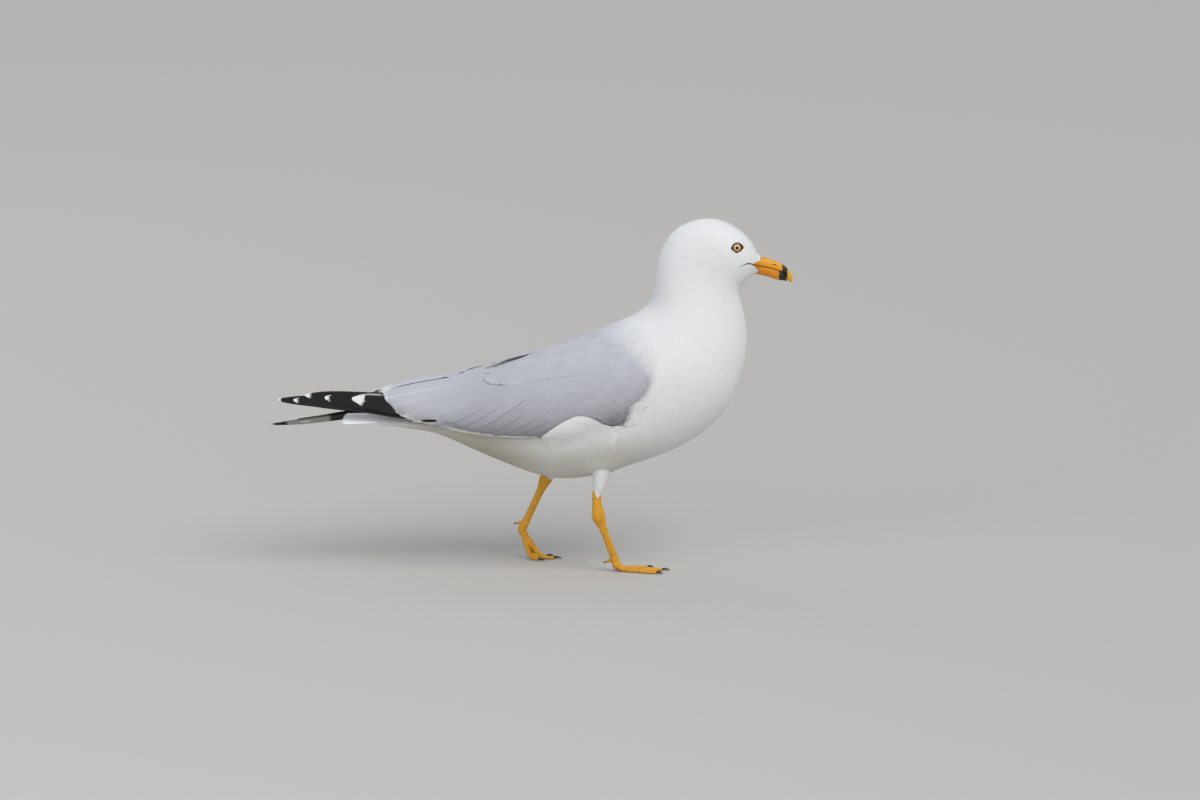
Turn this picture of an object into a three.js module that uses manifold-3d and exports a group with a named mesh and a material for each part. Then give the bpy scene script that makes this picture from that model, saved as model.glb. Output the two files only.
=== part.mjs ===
// An adult ring-billed gull, life size, walking: right foot flat in front, left foot pushing off behind.
// Millimetres. +X is forward, +Y is the bird's left, +Z is up, and the soles are at Z = 0.
// The body is one lofted form, parted into head, neck and trunk by thin cuts. The folded wings are
// shells over it, the flight feathers are blades, and the feet stand on small flats under the toes.
import * as THREE from "three";
import { mergeVertices } from "three/addons/utils/BufferGeometryUtils.js";
import Module from "manifold-3d";

const wasm = await Module();
wasm.setup();

// ---- driving dimensions ----
const GAP = 0.3; // clearance between neighbouring pieces
const FAR = 400; // reach of a cutting block, past the whole bird
const BODY_RINGS = 38;
const BODY_SIDES = 22;
const WING_RINGS = 16;
const WING_SIDES = 20;

const PLUMAGE = { white: 0xeeeeec, grey: 0xa9adb6, black: 0x1d1a18 };
const BARE = { leg: 0xd39a1c, bill: 0xe8a11f, claw: 0x17130f, eye: 0xe9d9a0 };

// ---- solids ----

// Joins a list of rings, each the same number of points, into one closed surface with its ends filled.
function closedLoft(rings) {
  const sides = rings[0].length;
  const points = rings.flat();
  const faces = [];
  for (let r = 0; r + 1 < rings.length; r++) {
    for (let s = 0; s < sides; s++) {
      const next = (s + 1) % sides;
      const a = r * sides + s;
      const b = r * sides + next;
      faces.push(a, b, b + sides, a, b + sides, a + sides);
    }
  }
  const capEnd = (ring, first, turned) => {
    const centre = points.length;
    points.push(ring.reduce((sum, p) => sum.add(p), new THREE.Vector3()).divideScalar(sides));
    for (let s = 0; s < sides; s++) {
      const pair = [first + s, first + ((s + 1) % sides)];
      faces.push(centre, ...(turned ? pair.reverse() : pair));
    }
  };
  capEnd(rings[0], 0, true);
  capEnd(rings.at(-1), (rings.length - 1) * sides, false);
  return outwards(geometryOf(points, faces));
}

function geometryOf(points, faces) {
  const geometry = new THREE.BufferGeometry().setFromPoints(points);
  geometry.setIndex(faces);
  return geometry;
}

// Turns the faces round where the surface encloses a negative volume.
function outwards(geometry) {
  const at = geometry.getAttribute("position");
  const index = geometry.index.array;
  const [a, b, c] = [new THREE.Vector3(), new THREE.Vector3(), new THREE.Vector3()];
  let volume = 0;
  for (let i = 0; i < index.length; i += 3) {
    a.fromBufferAttribute(at, index[i]);
    b.fromBufferAttribute(at, index[i + 1]);
    c.fromBufferAttribute(at, index[i + 2]);
    volume += a.dot(b.cross(c));
  }
  if (volume < 0) {
    geometry.setIndex(Array.from(index).reverse());
  }
  return geometry;
}

// A closed geometry as a manifold-3d solid.
function solid(geometry) {
  const bare = new THREE.BufferGeometry();
  bare.setAttribute("position", geometry.getAttribute("position"));
  bare.setIndex(geometry.index);
  const merged = mergeVertices(bare, 1e-3);
  return new wasm.Manifold(
    new wasm.Mesh({
      numProp: 3,
      vertProperties: new Float32Array(merged.getAttribute("position").array),
      triVerts: new Uint32Array(merged.index.array),
    }),
  );
}

// The largest body of a solid, without the slivers that a cut can leave.
function mainBody(cut) {
  return cut.decompose().sort((p, q) => q.volume() - p.volume())[0];
}

// A solid as a named mesh with its own material.
function meshOf(name, cut, color, roughness = 0.8) {
  const { vertProperties, triVerts } = mainBody(cut).getMesh();
  const geometry = new THREE.BufferGeometry();
  geometry.setAttribute("position", new THREE.BufferAttribute(new Float32Array(vertProperties), 3));
  geometry.setIndex(new THREE.BufferAttribute(new Uint32Array(triVerts), 1));
  geometry.computeVertexNormals();
  const mesh = new THREE.Mesh(geometry, new THREE.MeshStandardMaterial({ color, roughness, metalness: 0 }));
  mesh.name = name;
  return mesh;
}

// A block that fills the side of a plane towards its normal. The plane holds the Y axis direction,
// passes through (x, z), and its normal leans up from +X by the given angle.
function blockPast(x, z, angle) {
  const block = new THREE.BoxGeometry(FAR, FAR, FAR).translate(FAR / 2, 0, 0);
  block.rotateY(-angle).translate(x, 0, z);
  return solid(block);
}

// ---- lofts through named stations ----

// Reads a value between stations, along a smooth curve through them.
function between(stations, read, t) {
  const last = stations.length - 1;
  const at = Math.min(t * last, last - 1e-9);
  const i = Math.floor(at);
  const f = at - i;
  const pick = (k) => read(stations[Math.max(0, Math.min(last, k))]);
  const [p0, p1, p2, p3] = [pick(i - 1), pick(i), pick(i + 1), pick(i + 2)];
  const m1 = (p2 - p0) / 2;
  const m2 = (p3 - p1) / 2;
  const f2 = f * f;
  const f3 = f2 * f;
  return (2 * f3 - 3 * f2 + 1) * p1 + (f3 - 2 * f2 + f) * m1 + (3 * f2 - 2 * f3) * p2 + (f3 - f2) * m2;
}

// Loft whose sections each run from a point on the top outline to one on the bottom outline.
// A station is [top x, top z, bottom x, bottom z, half width, share of the height where it is widest].
// "grow" moves the whole surface outwards.
function outlineLoft(stations, ringCount, sides, grow = 0) {
  const rings = [];
  for (let r = 0; r < ringCount; r++) {
    const t = r / (ringCount - 1);
    const [tx, tz, bx, bz, half, widest] = [0, 1, 2, 3, 4, 5].map((k) => between(stations, (s) => s[k], t));
    const height = Math.hypot(bx - tx, bz - tz);
    const [dx, dz] = [(bx - tx) / height, (bz - tz) / height];
    const ring = [];
    for (let s = 0; s < sides; s++) {
      const angle = (2 * Math.PI * s) / sides;
      const c = Math.cos(angle);
      const down = c >= 0 ? widest * (1 - c) : widest - (1 - widest) * c;
      const along = down * (height + 2 * grow) - grow;
      ring.push(new THREE.Vector3(tx + dx * along, (half + grow) * Math.sin(angle), tz + dz * along));
    }
    rings.push(ring);
  }
  return solid(closedLoft(rings));
}

// Round tube along a smooth curve, with a radius at each of its points.
function tube(points, radii, steps, sides, flatten = 1) {
  const curve = new THREE.CatmullRomCurve3(points.map((p) => new THREE.Vector3(...p)));
  const frames = curve.computeFrenetFrames(steps);
  const rings = [];
  for (let i = 0; i <= steps; i++) {
    const t = i / steps;
    const centre = curve.getPoint(t);
    const ahead = curve.getTangent(t);
    const side = new THREE.Vector3(0, 1, 0).cross(ahead).lengthSq() > 1e-3
      ? new THREE.Vector3().crossVectors(ahead, new THREE.Vector3(0, 1, 0)).normalize()
      : frames.normals[i];
    const other = new THREE.Vector3().crossVectors(ahead, side);
    const radius = between(radii, (v) => v, t);
    rings.push(
      Array.from({ length: sides }, (_, s) => {
        const angle = (2 * Math.PI * (s + 0.5)) / sides;
        return centre
          .clone()
          .addScaledVector(side, radius * Math.cos(angle))
          .addScaledVector(other, radius * flatten * Math.sin(angle));
      }),
    );
  }
  return solid(closedLoft(rings));
}

// ---- body ----

// Top and bottom outlines, half width and widest level, from the bill's base to the tail's root.
const BODY = [
  [154, 305, 151, 291.5, 6.5, 0.5], // feather edge at the bill
  [149.5, 316, 146, 287, 12.5, 0.5], // lores
  [142, 327, 141, 282.5, 17.6, 0.5], // eyes
  [127.5, 338.5, 137.5, 277.5, 21, 0.5], // forehead
  [108, 345, 134.5, 272.5, 23.6, 0.48], // crown, over the notch of the throat
  [88, 342.5, 135.5, 266, 24.4, 0.48],
  [70, 332.5, 138.5, 257, 25.2, 0.48], // back of the head
  [58.5, 314, 141.5, 245, 27.4, 0.48], // nape
  [54, 296, 143, 230, 31.5, 0.5], // upper neck
  [52.5, 280, 142, 213, 36.5, 0.5],
  [50.5, 266, 138, 194, 42.5, 0.5], // root of the neck
  [42, 256, 130, 170, 49, 0.5], // shoulders
  [28, 247.5, 114, 146, 53, 0.5], // breast
  [8, 239, 87, 124, 54, 0.52],
  [-14, 231, 54, 109.5, 53, 0.54], // keel
  [-37, 222, 19, 98, 51.5, 0.56],
  [-60, 210, -15, 89, 48.5, 0.58], // belly
  [-82, 196, -48, 88.3, 44, 0.58],
  [-102, 182, -80, 99, 37, 0.55],
  [-122, 169, -110, 111.3, 29, 0.52], // rump and vent
  [-143, 158, -140, 125, 21, 0.5],
  [-160, 151, -160, 133.5, 15, 0.5], // root of the tail
];
const HEAD_CUT = { x: 97, z: 294.5, angle: THREE.MathUtils.degToRad(58) };
const NECK_CUT = { x: 91, z: 219, angle: THREE.MathUtils.degToRad(43) };

const body = outlineLoft(BODY, BODY_RINGS, BODY_SIDES);
const bodyRoom = outlineLoft(BODY, BODY_RINGS, BODY_SIDES, GAP);

// The part of space past a cut through the body, half a gap beyond it or half a gap before it.
function pastCut({ x, z, angle }, side) {
  const shift = (side * GAP) / 2;
  return blockPast(x + shift * Math.cos(angle), z + shift * Math.sin(angle), angle);
}

const headOnly = body.intersect(pastCut(HEAD_CUT, 1));
const neckDown = body.subtract(pastCut(HEAD_CUT, -1));
const neck = neckDown.intersect(pastCut(NECK_CUT, 1));
const trunk = neckDown.subtract(pastCut(NECK_CUT, -1));

// ---- head: eyes and bill ----

const EYE = { x: 132.4, y: 11.2, z: 318.4, radius: 7.3 };
const EYE_SIDES = 12;

function eyeball(side, grow = 0) {
  const ball = new THREE.SphereGeometry(EYE.radius + grow, EYE_SIDES, EYE_SIDES * 0.5);
  ball.rotateX(Math.PI / 2).translate(EYE.x, side * EYE.y, EYE.z);
  return solid(ball);
}

// Culmen, cutting edge and lower edge, as [top x, top z, bottom x, bottom z, half width, widest level].
const UPPER_BILL = [
  [148, 306.5, 146, 298.8, 5.6, 0.75],
  [157, 306.3, 155, 298, 5.4, 0.8],
  [166, 303.5, 164.5, 296.2, 4.7, 0.8],
  [174.5, 300, 172.5, 293.8, 3.9, 0.8],
  [180.2, 296, 177.5, 291.2, 3.2, 0.75],
  [184, 291, 181, 287.6, 2.5, 0.65],
  [186.2, 285.6, 183.2, 284, 1.7, 0.5],
  [186, 281.6, 184.4, 281.8, 0.8, 0.5], // hooked tip
];
const LOWER_BILL = [
  [146, 298.4, 147, 290.4, 5.3, 0.35],
  [155, 297.6, 154.5, 289.2, 5.1, 0.35],
  [164.5, 295.8, 163, 286.9, 4.4, 0.35],
  [172.5, 293.4, 171, 284.3, 3.6, 0.4], // angle of the lower bill
  [177.3, 290.8, 176.5, 283.5, 2.9, 0.4],
  [180.6, 287.4, 180.4, 282.9, 2, 0.45],
  [182.6, 284.2, 182.4, 282.6, 1, 0.5],
];
const BILL_RINGS = 12;
const BILL_SIDES = 10;
const upperBill = outlineLoft(UPPER_BILL, BILL_RINGS, BILL_SIDES).subtract(bodyRoom);
const upperRoom = outlineLoft(UPPER_BILL, BILL_RINGS, BILL_SIDES, GAP);
const lowerBill = outlineLoft(LOWER_BILL, BILL_RINGS, BILL_SIDES).subtract(upperRoom).subtract(bodyRoom);
const head = headOnly.subtract(eyeball(-1, GAP)).subtract(eyeball(1, GAP));

// ---- tail ----

// Closed tail: a thin arched blade that widens to a nearly square end, over the padded covert root.
const TAIL = {
  rootX: -161.5,
  tipX: -251,
  rootZ: 142,
  tipZ: 147,
  rootThick: 17,
  tipThick: 1.6,
  rootHalf: 15,
  tipHalf: 32,
  arch: 3.5, // drop of the edges under the middle
  roll: 0.06, // the left edge lies lower, in radians
  rings: 10,
  sides: 14,
};

function tailSolid() {
  const rings = [];
  for (let r = 0; r < TAIL.rings; r++) {
    const t = r / (TAIL.rings - 1);
    const half = THREE.MathUtils.lerp(TAIL.rootHalf, TAIL.tipHalf, Math.sin((t * Math.PI) / 2));
    const thick = TAIL.tipThick + (TAIL.rootThick - TAIL.tipThick) * (1 - t) ** 1.7;
    const ring = [];
    for (let s = 0; s < TAIL.sides; s++) {
      const angle = (2 * Math.PI * s) / TAIL.sides;
      const across = Math.cos(angle);
      const y = half * across;
      const rounded = t * 9 * (across * across - 0.35); // the outer feathers are a little shorter
      const middle = THREE.MathUtils.lerp(TAIL.rootZ, TAIL.tipZ, Math.min(1, 1.6 * t));
      const z = middle - t * TAIL.arch * across * across + (thick / 2) * Math.sin(angle) - y * TAIL.roll * t;
      ring.push(new THREE.Vector3(THREE.MathUtils.lerp(TAIL.rootX, TAIL.tipX, t) + rounded, y, z));
    }
    rings.push(ring);
  }
  return solid(closedLoft(rings));
}

// ---- folded wings ----

// Outer form of the folded wings over the body, as upright sections:
// [x, top z, x, bottom z, half width, widest level].
const WING_FORM = [
  [66, 232, 66, 150, 48, 0.5],
  [50, 238, 50, 140, 55.5, 0.5],
  [28, 238, 28, 128, 59, 0.52],
  [0, 231, 0, 118, 59.5, 0.55],
  [-30, 222, -30, 112, 59.5, 0.56],
  [-60, 214.5, -60, 110, 58, 0.57],
  [-90, 205.5, -90, 112, 54.5, 0.57],
  [-120, 197, -120, 116, 49.5, 0.56],
  [-150, 190, -150, 122, 43.5, 0.56],
  [-180, 184.5, -180, 130, 36.5, 0.56],
  [-205, 177.5, -205, 138, 30, 0.56],
  [-222, 171, -222, 144, 25, 0.56],
];
// Room under the shells of the wings, over the rump and tail.
const UNDER_WING = [
  [-90, 190, -90, 60, 40, 0.6],
  [-120, 184, -120, 60, 37, 0.6],
  [-150, 178.5, -150, 60, 34, 0.6],
  [-180, 174.5, -180, 60, 29.5, 0.6],
  [-205, 170, -205, 60, 25.5, 0.6],
  [-240, 165, -240, 60, 22, 0.6],
];
// Outline of the folded wing seen from the side: lower edge, tips of the inner feathers, upper edge.
const WING_OUTLINE = [
  [52, 204],
  [50, 190],
  [42, 176],
  [28, 164.5],
  [10, 155], // under the flank feathers
  [-10, 146],
  [-32, 139.5],
  [-62, 137],
  [-98, 137],
  [-136, 141],
  [-158, 147.5], // tips of the outer secondaries
  [-182, 152],
  [-202, 157.5],
  [-211, 166], // longest tertials
  [-208, 176],
  [-200, 200],
  [-150, 212],
  [-100, 222],
  [-64, 226],
  [-54, 224],
  [-47, 218],
  [-36, 216], // edge of the mantle
  [-10, 217],
  [12, 217.5],
  [30, 216.5],
  [45, 212],
];
const WING_INNER_EDGE = 1.2; // half the slit between the two wings over the rump
const OUTLINE_STEPS = 34;

function wingArm(side) {
  const outline = new THREE.CatmullRomCurve3(
    WING_OUTLINE.map(([x, z]) => new THREE.Vector3(x, z, 0)),
    true,
    "centripetal",
  );
  const shape = new THREE.Shape(outline.getPoints(OUTLINE_STEPS).map((p) => new THREE.Vector2(p.x, p.y)));
  const block = new THREE.ExtrudeGeometry(shape, { depth: 90, bevelEnabled: false });
  block.translate(0, 0, WING_INNER_EDGE).rotateX(Math.PI / 2); // the depth now runs to the bird's right
  if (side > 0) {
    block.applyMatrix4(new THREE.Matrix4().makeScale(1, -1, 1));
  }
  const half = solid(outwards(mergedOnly(block)));
  return outlineLoft(WING_FORM, WING_RINGS, WING_SIDES)
    .intersect(half)
    .subtract(bodyRoom)
    .subtract(outlineLoft(UNDER_WING, WING_RINGS, WING_SIDES));
}

// Keeps only the merged positions of a geometry, so that its surface is closed.
function mergedOnly(geometry) {
  const source = geometry.index ? geometry.toNonIndexed() : geometry;
  const bare = new THREE.BufferGeometry();
  bare.setAttribute("position", source.getAttribute("position"));
  return mergeVertices(bare, 1e-3);
}

// Folded outer flight feathers: a tapering blade from an inner edge to an outer, lower edge.
// A station is [x, inner y, inner z, outer y, outer z, thickness]; y is counted away from the midline.
const RIGHT_PRIMARIES = [
  [-170, 13, 174, 34, 153, 4.2],
  [-207, 10, 176, 32, 155, 4.2],
  [-235, 7.5, 175, 27.5, 157.5, 3.6],
  [-262, 5.5, 173.5, 22.5, 160.5, 3],
  [-288, 4.5, 171, 15.5, 163, 2.2],
  [-304, 5, 168.5, 10, 164.8, 1.5],
  [-312.3, 6.2, 166.5, 7.4, 165.7, 1],
];
const LEFT_PRIMARIES = [
  [-178, 13, 163, 33, 148, 4.2],
  [-207, 11, 158, 32.5, 144.5, 4],
  [-235, 9.5, 153.6, 30, 141.8, 3.4],
  [-262, 8.5, 149, 26.5, 138.6, 2.8],
  [-290, 9, 144.5, 21.5, 136.5, 2],
  [-311, 11, 140.5, 17, 136.5, 1.5],
  [-322, 13.3, 137.8, 14.6, 137, 1],
];
const BLADE_RINGS = 13;
const BLADE_SIDES = 10;

function primaries(side, stations, grow = 0) {
  const rings = [];
  for (let r = 0; r < BLADE_RINGS; r++) {
    const t = r / (BLADE_RINGS - 1);
    const [x, y0, z0, y1, z1, thick] = [0, 1, 2, 3, 4, 5].map((k) => between(stations, (s) => s[k], t));
    const width = Math.hypot(y1 - y0, z1 - z0);
    const [cy, cz] = [(y1 - y0) / width, (z1 - z0) / width];
    const ring = [];
    for (let s = 0; s < BLADE_SIDES; s++) {
      const angle = (2 * Math.PI * s) / BLADE_SIDES;
      const across = (width / 2 + grow) * Math.cos(angle);
      const proud = (thick / 2 + grow) * Math.sin(angle) + 1.2 * (1 - Math.cos(angle) ** 2) * (1 - t);
      const y = (y0 + y1) / 2 + cy * across - cz * proud;
      const z = (z0 + z1) / 2 + cz * across + cy * proud;
      ring.push(new THREE.Vector3(x, side * y, z));
    }
    rings.push(ring);
  }
  return solid(closedLoft(rings));
}

// ---- legs and feet ----

// Joints of the legs as [x, y, z]; "knee" is the hidden upper end under the feathers.
const RIGHT_LEG = {
  name: "right",
  side: -1,
  knee: [12, -33, 124],
  feathers: [-3, -33, 82],
  featherRadii: [15, 11, 5.6],
  bareFrom: 0.86, // share of the way down the feathers where the bare leg starts
  ankle: [-1.6, -32, 56.7],
  toeJoint: [16.4, -24, 5.8],
  heading: 0.03, // of the middle toe, in radians, to the left
  flatShare: 0.9, // a flat foot
  hindDrop: 3.2, // of the hind toe's tip under its root
};
const LEFT_LEG = {
  name: "left",
  side: 1,
  knee: [-22, 33, 124],
  feathers: [-45, 34, 88],
  featherRadii: [14, 10.5, 7],
  bareFrom: 0.8,
  ankle: [-52.5, 34, 80],
  toeJoint: [-76.5, 28.5, 29],
  heading: -0.02,
  flatShare: 0.26, // only the ends of the toes are down
  hindDrop: -1,
};
// Radii of the bare leg from under the feathers, over the heel, to the toe joint.
const SHANK_RADII = [3.9, 4.6, 7, 4.2, 3.8, 4.2, 4.6];
const SHANK_FLATNESS = 0.72; // width over depth
// Toes: length of flesh, spread from the middle toe outwards, radius at root and tip, length of claw.
const TOES = [
  { name: "inner", length: 34, spread: -0.36, root: 2.9, tip: 1.8, claw: 6.5 },
  { name: "middle", length: 45, spread: 0, root: 3.3, tip: 1.9, claw: 7.5 },
  { name: "outer", length: 42, spread: 0.34, root: 3, tip: 1.8, claw: 6.5 },
];
const SOLE = 0.45; // how far a toe's round pad is cut flat
const STEEPEST = 1.25; // of a raised toe, in radians
const TOE_STEPS = 6;
const TOE_SIDES = 8;
const WEB = { thick: 1.3, reach: 0.97, hollow: 0.2, across: 4, steps: 4 };
const HIND_TOE = { back: 8.2, inward: 2.2, radii: [2.6, 1.8, 1.3], claw: 3 };
const FOOT_SHARE = 0.8; // share of the lower leg above the foot's cut

const mix = (a, b, t) => a.map((v, k) => v + (b[k] - v) * t);
const widened = (radii, grow) => radii.map((r) => r + grow);
const floorBlock = solid(new THREE.BoxGeometry(FAR * 2, FAR, FAR).translate(0, 0, -FAR / 2));

// Centre line of a toe. It slopes down from the joint until its flat part starts, then runs level.
function toeLine(leg, toe) {
  const heading = leg.heading + leg.side * toe.spread;
  const forward = new THREE.Vector3(Math.cos(heading), Math.sin(heading), 0);
  const lowest = (t) => THREE.MathUtils.lerp(toe.root, toe.tip, t) - SOLE;
  const points = [new THREE.Vector3(...leg.toeJoint)];
  const steps = 24;
  const step = toe.length / steps;
  const sloping = 1 - leg.flatShare;
  const drop = points[0].z - lowest(sloping);
  const slope = Math.min(STEEPEST, Math.asin(Math.min(0.97, drop / (toe.length * sloping))));
  for (let i = 1; i <= steps; i++) {
    const t = i / steps;
    const last = points.at(-1);
    const down = t <= sloping + 1e-6 ? Math.sin(slope) * step : 0;
    const z = down > 0 ? Math.max(last.z - down, lowest(t)) : lowest(t);
    points.push(last.clone().addScaledVector(forward, Math.sqrt(step * step - down * down)).setZ(z));
  }
  return new THREE.CatmullRomCurve3(points, false, "centripetal");
}

// Round toe with pads and waists along it.
function toeSolid(line, root, tip) {
  const rings = [];
  for (let i = 0; i <= TOE_STEPS; i++) {
    const t = i / TOE_STEPS;
    const centre = line.getPointAt(t);
    const ahead = line.getTangentAt(t);
    const across = new THREE.Vector3(-ahead.y, ahead.x, 0).normalize();
    const up = new THREE.Vector3().crossVectors(ahead, across);
    const knuckle = 1 + 0.1 * Math.cos(t * Math.PI * 6);
    const radius = THREE.MathUtils.lerp(root, tip, t) * knuckle * (t > 0.93 ? 0.75 : 1);
    const ring = [];
    for (let s = 0; s < TOE_SIDES; s++) {
      const angle = (2 * Math.PI * (s + 0.5)) / TOE_SIDES;
      const sideways = radius * Math.cos(angle);
      const upwards = radius * Math.sin(angle);
      ring.push(centre.clone().addScaledVector(across, sideways).addScaledVector(up, upwards));
    }
    rings.push(ring);
  }
  return solid(closedLoft(rings));
}

// Web between two toes, with a hollow front edge.
function webSolid(lineA, toeA, lineB, toeB) {
  const rings = [];
  for (let i = 0; i <= WEB.steps; i++) {
    const along = 0.04 + (i / WEB.steps) * 0.96;
    const top = [];
    const bottom = [];
    for (let j = 0; j <= WEB.across; j++) {
      const v = j / WEB.across;
      const bow = Math.sin(Math.PI * v);
      const length = THREE.MathUtils.lerp(toeA.length, toeB.length, v) * WEB.reach * (1 - WEB.hollow * bow);
      const a = lineA.getPointAt(Math.min(1, (along * length) / toeA.length));
      const b = lineB.getPointAt(Math.min(1, (along * length) / toeB.length));
      const p = a.lerp(b, v);
      const middle = Math.max(p.z - 0.4 - 0.5 * bow, WEB.thick / 2 + 0.12);
      top.push(new THREE.Vector3(p.x, p.y, middle + WEB.thick / 2));
      bottom.unshift(new THREE.Vector3(p.x, p.y, middle - WEB.thick / 2));
    }
    rings.push([...top, ...bottom]);
  }
  return solid(closedLoft(rings));
}

// Claw: a short cone that curves down and forwards from the end of a toe.
function clawSolid(line, toe) {
  const tip = line.getPointAt(1);
  const ahead = line.getTangentAt(1).setZ(0).normalize();
  const at = (on, z) => [tip.x + ahead.x * on, tip.y + ahead.y * on, z];
  const root = tip.z + 0.35;
  const points = [
    at(-1.2, root),
    at(toe.claw * 0.35, root + 0.5),
    at(toe.claw * 0.75, root - 0.1),
    at(toe.claw, 0.8),
  ];
  const toeRoom = toeSolid(line, toe.root + GAP, toe.tip / 0.9 + GAP);
  return tube(points, [1.35, 1.2, 0.8, 0.3], 5, 7).subtract(toeRoom).subtract(floorBlock);
}

function thighSolid(leg, grow = 0) {
  const points = [leg.knee, mix(leg.knee, leg.feathers, 0.5), leg.feathers];
  return tube(points, widened(leg.featherRadii, grow), 6, 12);
}

function shankSolid({ knee, feathers, bareFrom, ankle, toeJoint }) {
  const points = [
    mix(knee, feathers, bareFrom),
    mix(feathers, ankle, 0.5),
    ankle,
    mix(ankle, toeJoint, 0.22),
    mix(ankle, toeJoint, 0.6),
    mix(ankle, toeJoint, 0.86),
    toeJoint,
  ];
  return tube(points, SHANK_RADII, 16, 8, SHANK_FLATNESS);
}

// The part of space above the cut between bare leg and foot, moved along the leg by a shift.
function aboveFoot({ ankle, toeJoint }, shift) {
  const [x, , z] = mix(ankle, toeJoint, FOOT_SHARE);
  const slope = Math.atan2(ankle[2] - toeJoint[2], ankle[0] - toeJoint[0]);
  return blockPast(x + shift * Math.cos(slope), z + shift * Math.sin(slope), slope);
}

// Hind toe, short and raised on the back of the lower leg, as the ends of its centre line.
function hindToeEnds(leg) {
  const root = mix(leg.ankle, leg.toeJoint, 0.87);
  const [x, y, z] = root;
  return [root, [x - HIND_TOE.back, y - leg.side * HIND_TOE.inward, z - leg.hindDrop]];
}

function hindToe(leg, grow = 0) {
  const [root, tip] = hindToeEnds(leg);
  return tube([root, mix(root, tip, 0.6), tip], widened(HIND_TOE.radii, grow), 4, 7);
}

function hindClaw(leg) {
  const [root, tip] = hindToeEnds(leg);
  const end = [tip[0] - HIND_TOE.claw, tip[1], tip[2] - 0.9];
  return tube([mix(tip, root, 0.1), end], [1.05, 0.4], 3, 7).subtract(hindToe(leg, GAP));
}

// Toes, web, hind toe and the end of the lower leg as one solid, cut flat at the floor.
function footSolid(leg, lines) {
  const [inner, middle, outer] = lines;
  const instep = [mix(leg.ankle, leg.toeJoint, 0.93), leg.toeJoint, middle.getPointAt(0.16).toArray()];
  let foot = tube(instep, [3.9, 4.5, 3.2], 4, 8, 1.05);
  TOES.forEach((toe, i) => {
    foot = foot.add(toeSolid(lines[i], toe.root, toe.tip));
  });
  foot = foot.add(webSolid(inner, TOES[0], middle, TOES[1]));
  foot = foot.add(webSolid(middle, TOES[1], outer, TOES[2]));
  foot = foot.add(hindToe(leg)).add(shankSolid(leg));
  return foot.subtract(floorBlock).subtract(aboveFoot(leg, -GAP / 2));
}

function legMeshes(leg) {
  const lines = TOES.map((toe) => toeLine(leg, toe));
  const thigh = thighSolid(leg).subtract(bodyRoom);
  const shank = shankSolid(leg).intersect(aboveFoot(leg, GAP / 2));
  const claws = TOES.map((toe, i) =>
    meshOf(`claw_${leg.name}_${toe.name}`, clawSolid(lines[i], toe), BARE.claw, 0.4),
  );
  return [
    meshOf(`thigh_${leg.name}`, thigh, PLUMAGE.white),
    meshOf(`shank_${leg.name}`, shank.subtract(thighSolid(leg, GAP)).subtract(bodyRoom), BARE.leg, 0.5),
    meshOf(`foot_${leg.name}`, footSolid(leg, lines), BARE.leg, 0.5),
    meshOf(`claw_${leg.name}_hind`, hindClaw(leg), BARE.claw, 0.4),
    ...claws,
  ];
}

// ---- the bird ----

const tail = tailSolid().subtract(bodyRoom);
const rightPrimaries = primaries(-1, RIGHT_PRIMARIES).subtract(bodyRoom);
const leftPrimaries = primaries(1, LEFT_PRIMARIES).subtract(tail).subtract(bodyRoom);
const rightWing = wingArm(-1).subtract(primaries(-1, RIGHT_PRIMARIES, GAP));
const leftWing = wingArm(1).subtract(primaries(1, LEFT_PRIMARIES, GAP));

const bird = new THREE.Group();
bird.name = "gull";
bird.add(
  meshOf("head", head, PLUMAGE.white),
  meshOf("neck", neck, PLUMAGE.white),
  meshOf("trunk", trunk, PLUMAGE.white),
  meshOf("eye_right", eyeball(-1), BARE.eye, 0.1),
  meshOf("eye_left", eyeball(1), BARE.eye, 0.1),
  meshOf("bill_upper", upperBill, BARE.bill, 0.4),
  meshOf("bill_lower", lowerBill, BARE.bill, 0.4),
  meshOf("tail", tail, PLUMAGE.white),
  meshOf("wing_right", rightWing, PLUMAGE.grey),
  meshOf("wing_left", leftWing, PLUMAGE.grey),
  meshOf("primaries_right", rightPrimaries, PLUMAGE.black),
  meshOf("primaries_left", leftPrimaries, PLUMAGE.black),
  ...legMeshes(RIGHT_LEG),
  ...legMeshes(LEFT_LEG),
);

// The origin is on the floor, under the middle of the bird's box.
const box = new THREE.Box3().setFromObject(bird);
const centre = box.getCenter(new THREE.Vector3());
bird.position.set(-centre.x, -centre.y, -box.min.z);

export default bird;
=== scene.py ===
# Looks of the ring-billed gull: skin, plumage, eyes, bill, legs and feet, over the frame's solids.
import math

import bpy
import numpy as np
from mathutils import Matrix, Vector, kdtree
from mathutils.bvhtree import BVHTree


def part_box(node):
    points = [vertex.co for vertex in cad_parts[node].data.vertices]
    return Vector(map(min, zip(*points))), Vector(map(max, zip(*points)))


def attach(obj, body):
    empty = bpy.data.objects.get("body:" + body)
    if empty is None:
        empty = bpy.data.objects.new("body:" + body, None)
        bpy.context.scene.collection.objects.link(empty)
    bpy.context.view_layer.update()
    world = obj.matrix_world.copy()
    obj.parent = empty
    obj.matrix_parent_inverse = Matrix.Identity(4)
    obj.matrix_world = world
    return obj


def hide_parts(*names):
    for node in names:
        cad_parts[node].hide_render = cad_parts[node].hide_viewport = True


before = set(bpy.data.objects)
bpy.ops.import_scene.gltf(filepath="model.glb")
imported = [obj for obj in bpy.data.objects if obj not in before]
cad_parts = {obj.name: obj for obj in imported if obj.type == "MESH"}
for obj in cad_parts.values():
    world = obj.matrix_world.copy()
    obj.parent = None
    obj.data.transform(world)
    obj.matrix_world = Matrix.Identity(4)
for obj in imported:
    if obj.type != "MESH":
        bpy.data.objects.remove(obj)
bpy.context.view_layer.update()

mm = 0.001
rng = np.random.default_rng(11)
scene = bpy.context.scene

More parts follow.
